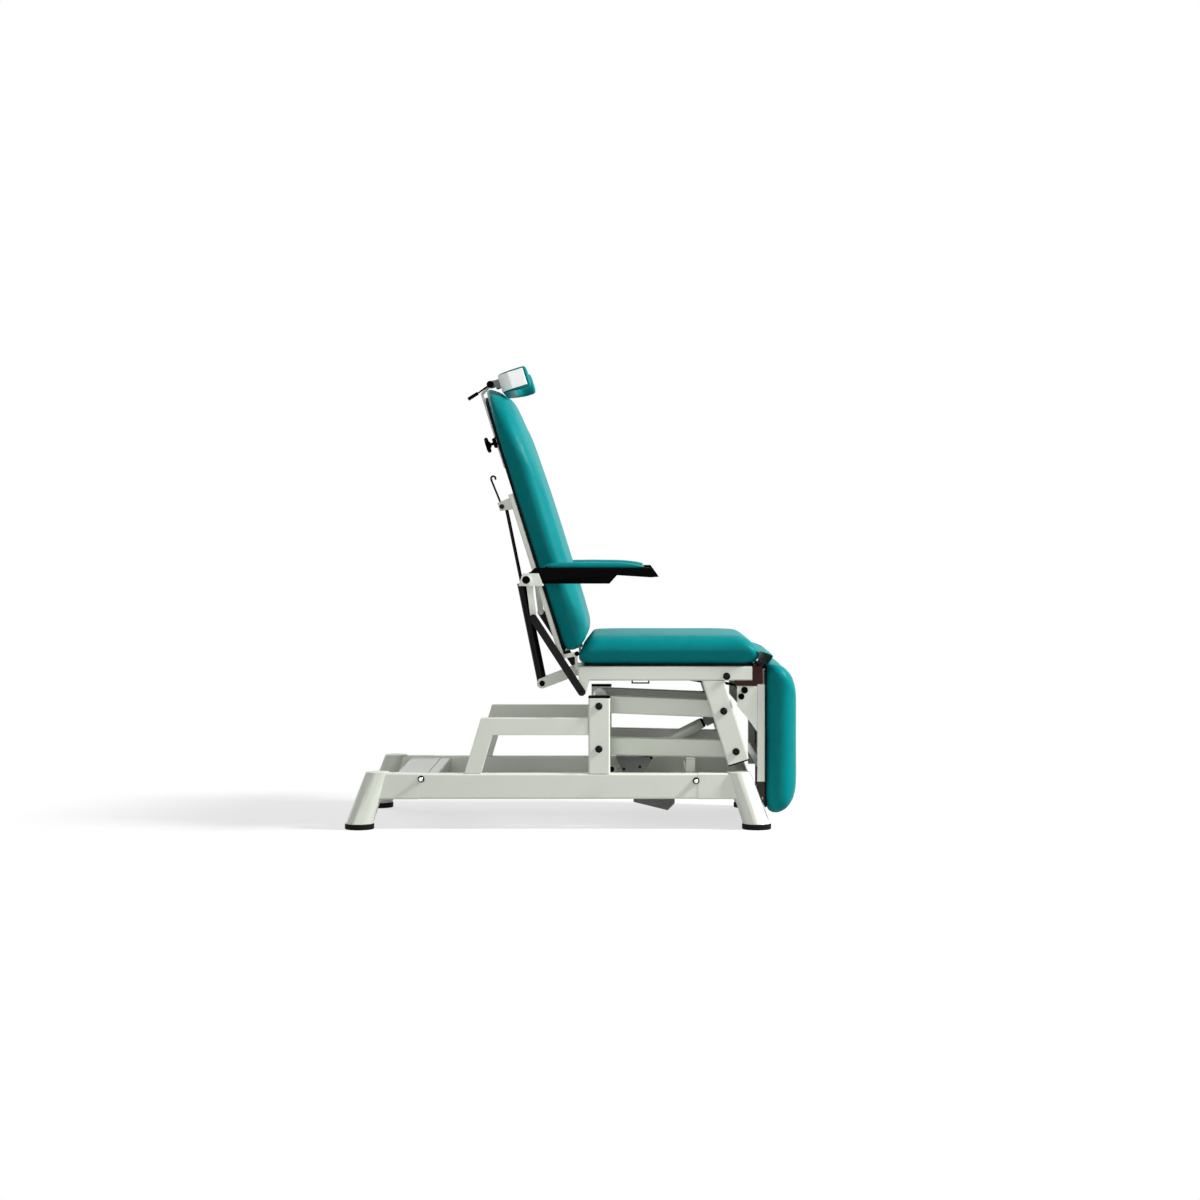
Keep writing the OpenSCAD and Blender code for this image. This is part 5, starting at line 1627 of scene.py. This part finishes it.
@dataclass(frozen=True)
class SmallParts:
    """Turned, bent and screwed parts that finish the mechanisms.

    Their sizes are in mm, and the actuator's two ends in metres.
    """

    palette: Palette
    lift_foot: Place = (0.109, 0, 0.142)
    lift_head: Place = (0.400, 0, 0.288)
    sleeve: Profile = (
        (249.5, 10.5), (249.5, 15.0), (289.0, 15.0), (290.0, 14.2), (290.0, 10.5),
    )
    wiper: Profile = (
        (290.0, 10.4), (290.0, 13.6), (291.5, 14.4), (295.0, 14.0), (297.0, 12.0), (297.0, 10.4),
    )
    knob_at: Place = (-58.0, 0.0, 636.5)
    knob: Profile = (
        (0, 0), (0, 4.2), (9.5, 4.2), (10.0, 8.0), (13.0, 9.6), (13.6, 16.0), (14.6, 19.4),
        (16.0, 20.6), (22.0, 20.8), (24.0, 19.4), (25.0, 16.0), (24.6, 9.0), (24.8, 0),
    )
    knob_lobes: int = 5
    lobe_depth: float = 0.13
    knob_sides: int = 80
    lever_stem: tuple[Place, ...] = ((-92.0, 0.0, 470.0), (-97.4, 0.0, 536.0))
    curl_at: tuple[float, float] = (-91.0, 541.0)
    curl_radius: float = 6.5
    curl_from: float = 190.0
    curl_turn: float = 240.0
    curl_steps: int = 24
    lever_radius: float = 2.9

    def _keep(
        self, name: str, bm: bmesh.types.BMesh, body: str, slot: Slot, *nodes: str,
        sharp_degrees: float = 40.0,
    ) -> None:
        """Makes a piece of a mesh, dresses it and sets it on its body.

        Args:
            name: The piece's name.
            bm: Its mesh.
            body: The body it rides on.
            slot: Its finish.
            nodes: The nodes that it stands for.
            sharp_degrees: The least angle of an edge that stays sharp.
        """
        obj = make_object(name, bm)
        smooth_by_angle(obj, sharp_degrees)
        self.palette.settle(obj, body, slot, *nodes)

    def _lift_gland(self) -> None:
        """Adds the long end of the actuator's outer tube and its wiper ring."""
        start = Vector(self.lift_foot)
        axis = (Vector(self.lift_head) - start).normalized()
        sleeve = turned(self.sleeve, start, axis, ring=True)
        self._keep("lift_sleeve", sleeve, "lift_motor", Slot.PAINT)
        wiper = turned(self.wiper, start, axis, ring=True)
        self._keep("lift_wiper", wiper, "lift_motor", Slot.RUBBER)

    def _star_knob(self) -> None:
        """Builds the head post's star knob, which faces away from the back."""
        rear = -Vector((math.cos(BACK_LEAN), 0.0, math.sin(BACK_LEAN)))
        bm = turned(
            self.knob, back_point(*self.knob_at), rear,
            lobes=self.knob_lobes, depth=self.lobe_depth, sides=self.knob_sides,
        )
        self._keep(
            "star_knob", bm, "headrest_knob", Slot.BLACK, "headrest_knob", sharp_degrees=34.0
        )

    def _lever_curl(self) -> None:
        """Adds the curled end of the back's release lever."""
        n, u = self.curl_at
        points = [back_point(*place) for place in self.lever_stem]
        for i in range(self.curl_steps + 1):
            a = math.radians(self.curl_from - self.curl_turn * i / self.curl_steps)
            points.append(back_point(
                n + self.curl_radius * math.cos(a), 0.0, u + self.curl_radius * math.sin(a)
            ))
        curl = rod_along(points, self.lever_radius)
        self._keep("release_curl", curl, "release_lever", Slot.BLACK_STEEL)

    def build(self) -> None:
        """Builds every small part."""
        self._lift_gland()
        self._star_knob()
        self._lever_curl()
        Fittings(self.palette).build()
        Staples(self.palette).build()


@dataclass(frozen=True)
class KneeFlap:
    """The vinyl flap that covers the gap over the leg hinge, in mm.

    Each wave has its height, its turn for each mm across and where it starts.
    """

    palette: Palette
    path: Profile = (
        (500, 484), (508, 490), (517, 492.5), (527, 491.5), (538, 488), (548, 484), (555, 481),
        (557.6, 478.5), (556, 475), (552, 469), (547, 462), (542, 455), (538, 449),
    )
    width: float = 594.0
    steps: int = 40
    thick: float = 1.4
    sharp_degrees: float = 60.0
    waves: tuple[tuple[float, float, float], ...] = ((0.9, 0.045, 0.0), (0.6, 0.11, 1.0))
    forward_share: float = 0.5

    def _sheet(self) -> bmesh.types.BMesh:
        """Draws the flap's middle surface, with soft waves along its width.

        Returns:
            The open mesh, in metres.
        """
        bm = bmesh.new()
        rows = []
        for i, (x, z) in enumerate(self.path):
            swell = math.sin(math.pi * i / (len(self.path) - 1))
            row = []
            for k in range(self.steps + 1):
                y = -self.width / 2 + self.width * k / self.steps
                wave = swell * sum(high * math.sin(y * per + at) for high, per, at in self.waves)
                point = Vector((x + wave * self.forward_share, y, z + wave))
                row.append(bm.verts.new(point * MM))
            rows.append(row)
        join_rows(bm, rows, closed=False)
        return bm

    def build(self) -> None:
        obj = make_object("knee_flap", self._sheet())
        wall = obj.modifiers.new("Thick", "SOLIDIFY")
        wall.thickness = self.thick * MM
        wall.offset = 0.0
        subdivide(obj)
        smooth_by_angle(obj, self.sharp_degrees)
        self.palette.settle(obj, "carriage", Slot.VINYL)
        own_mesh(obj)


@dataclass(frozen=True)
class Lamp:
    """One soft square lamp, in metres and watts."""

    name: str
    at: Place
    aim: Place
    size: float
    power: float

    def build(self) -> None:
        """Adds the lamp."""
        light = bpy.data.lights.new(self.name, "AREA")
        light.size = self.size
        light.energy = self.power
        obj = bpy.data.objects.new(self.name, light)
        obj.location = self.at
        ahead = Vector(self.aim) - Vector(self.at)
        obj.rotation_euler = ahead.to_track_quat("-Z", "Y").to_euler()
        bpy.context.scene.collection.objects.link(obj)


@dataclass(frozen=True)
class Studio:
    """Camera, lamps, a pale floor and a white background."""

    camera_at: Place = (0.162, -7.338, 0.8073)
    lens: float = 76.5
    shift: tuple[float, float] = (-0.025, -0.0525)
    lamps: tuple[Lamp, ...] = (
        Lamp("key", (3.9, -0.86, 3.53), (0.1, 0, 0.4), 0.9, 440.0),
        Lamp("fill", (-0.6, -6.4, 1.5), (0.1, 0, 0.5), 2.6, 94.0),
        Lamp("rear", (-2.6, 3.4, 2.6), (0.0, 0, 0.5), 2.2, 50.0),
    )
    white: Colour = (1.0, 1.0, 1.0)
    ambient: float = 0.27
    floor_half: float = 30.0
    floor_colour: Colour = (0.95, 0.95, 0.945)
    floor_roughness: float = 0.9
    floor_bounce: Colour = (0.34, 0.34, 0.34)
    glow_near: float = 0.65
    glow_from: float = 0.95
    glow_to: float = 1.7

    def build(self) -> None:
        """Places the camera, the floor, the background and the lamps."""
        scene = bpy.context.scene
        data = bpy.data.cameras.new("studio_camera")
        data.lens = self.lens
        data.shift_x, data.shift_y = self.shift
        camera = bpy.data.objects.new("studio_camera", data)
        camera.location = self.camera_at
        camera.rotation_euler = (math.radians(90), 0, 0)
        scene.collection.objects.link(camera)
        scene.camera = camera
        scene.view_settings.view_transform = "Standard"
        self._floor()
        self._world(scene)
        for lamp in self.lamps:
            lamp.build()

    def _floor(self) -> None:
        """Adds the floor: it takes the chair's shadow and turns white further out."""
        bm = bmesh.new()
        bmesh.ops.create_grid(bm, x_segments=2, y_segments=2, size=self.floor_half)
        obj = make_object("studio_floor", bm)
        g = Graph("studio_floor")
        g.put("Base Color", self.floor_colour)
        g.put("Roughness", self.floor_roughness)
        g.put("Specular IOR Level", 0.0)
        spot = g.node("ShaderNodeVectorMath", {"operation": "LENGTH"}, {0: g.place})
        away = Wire(g, spot.outputs["Value"]).ramp(self.glow_from, self.glow_to)
        glow = g.node("ShaderNodeEmission", inputs={"Color": self.white, "Strength": 1.0})
        share = self.glow_near + away * (1.0 - self.glow_near)
        shown = g.node("ShaderNodeMixShader", inputs={
            0: share, 1: g.shader.outputs[0], 2: glow.outputs[0],
        })
        bounce = g.node("ShaderNodeBsdfDiffuse", inputs={"Color": self.floor_bounce})
        mix = g.node("ShaderNodeMixShader", inputs={
            0: g.seen(), 1: bounce.outputs[0], 2: shown.outputs[0],
        })
        g.feed(g.output.inputs[0], mix.outputs[0])
        obj.data.materials.append(g.material)

    def _world(self, scene: bpy.types.Scene) -> None:
        """Makes the background white for the camera and soft grey for light.

        Args:
            scene: The scene.
        """
        world = bpy.data.worlds.new("studio")
        scene.world = world
        world.use_nodes = True
        sheet = Sheet(world.node_tree)
        lit, shown = (
            sheet.node("ShaderNodeBackground", inputs={"Color": self.white, "Strength": strength})
            for strength in (self.ambient, 1.0)
        )
        mix = sheet.node("ShaderNodeMixShader", inputs={
            0: sheet.seen(), 1: lit.outputs[0], 2: shown.outputs[0],
        })
        sheet.node("ShaderNodeOutputWorld", inputs={0: mix.outputs[0]})


def main() -> None:
    """Builds the chair and its studio in order."""
    logging.basicConfig(level=logging.INFO, format="%(name)s: %(message)s")
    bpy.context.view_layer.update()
    Studio().build()
    palette = Palette()
    Frame(palette).build()
    Upholstery(palette).build()
    SmallParts(palette).build()
    KneeFlap(palette).build()
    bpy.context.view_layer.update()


if __name__ == "__main__":
    main()
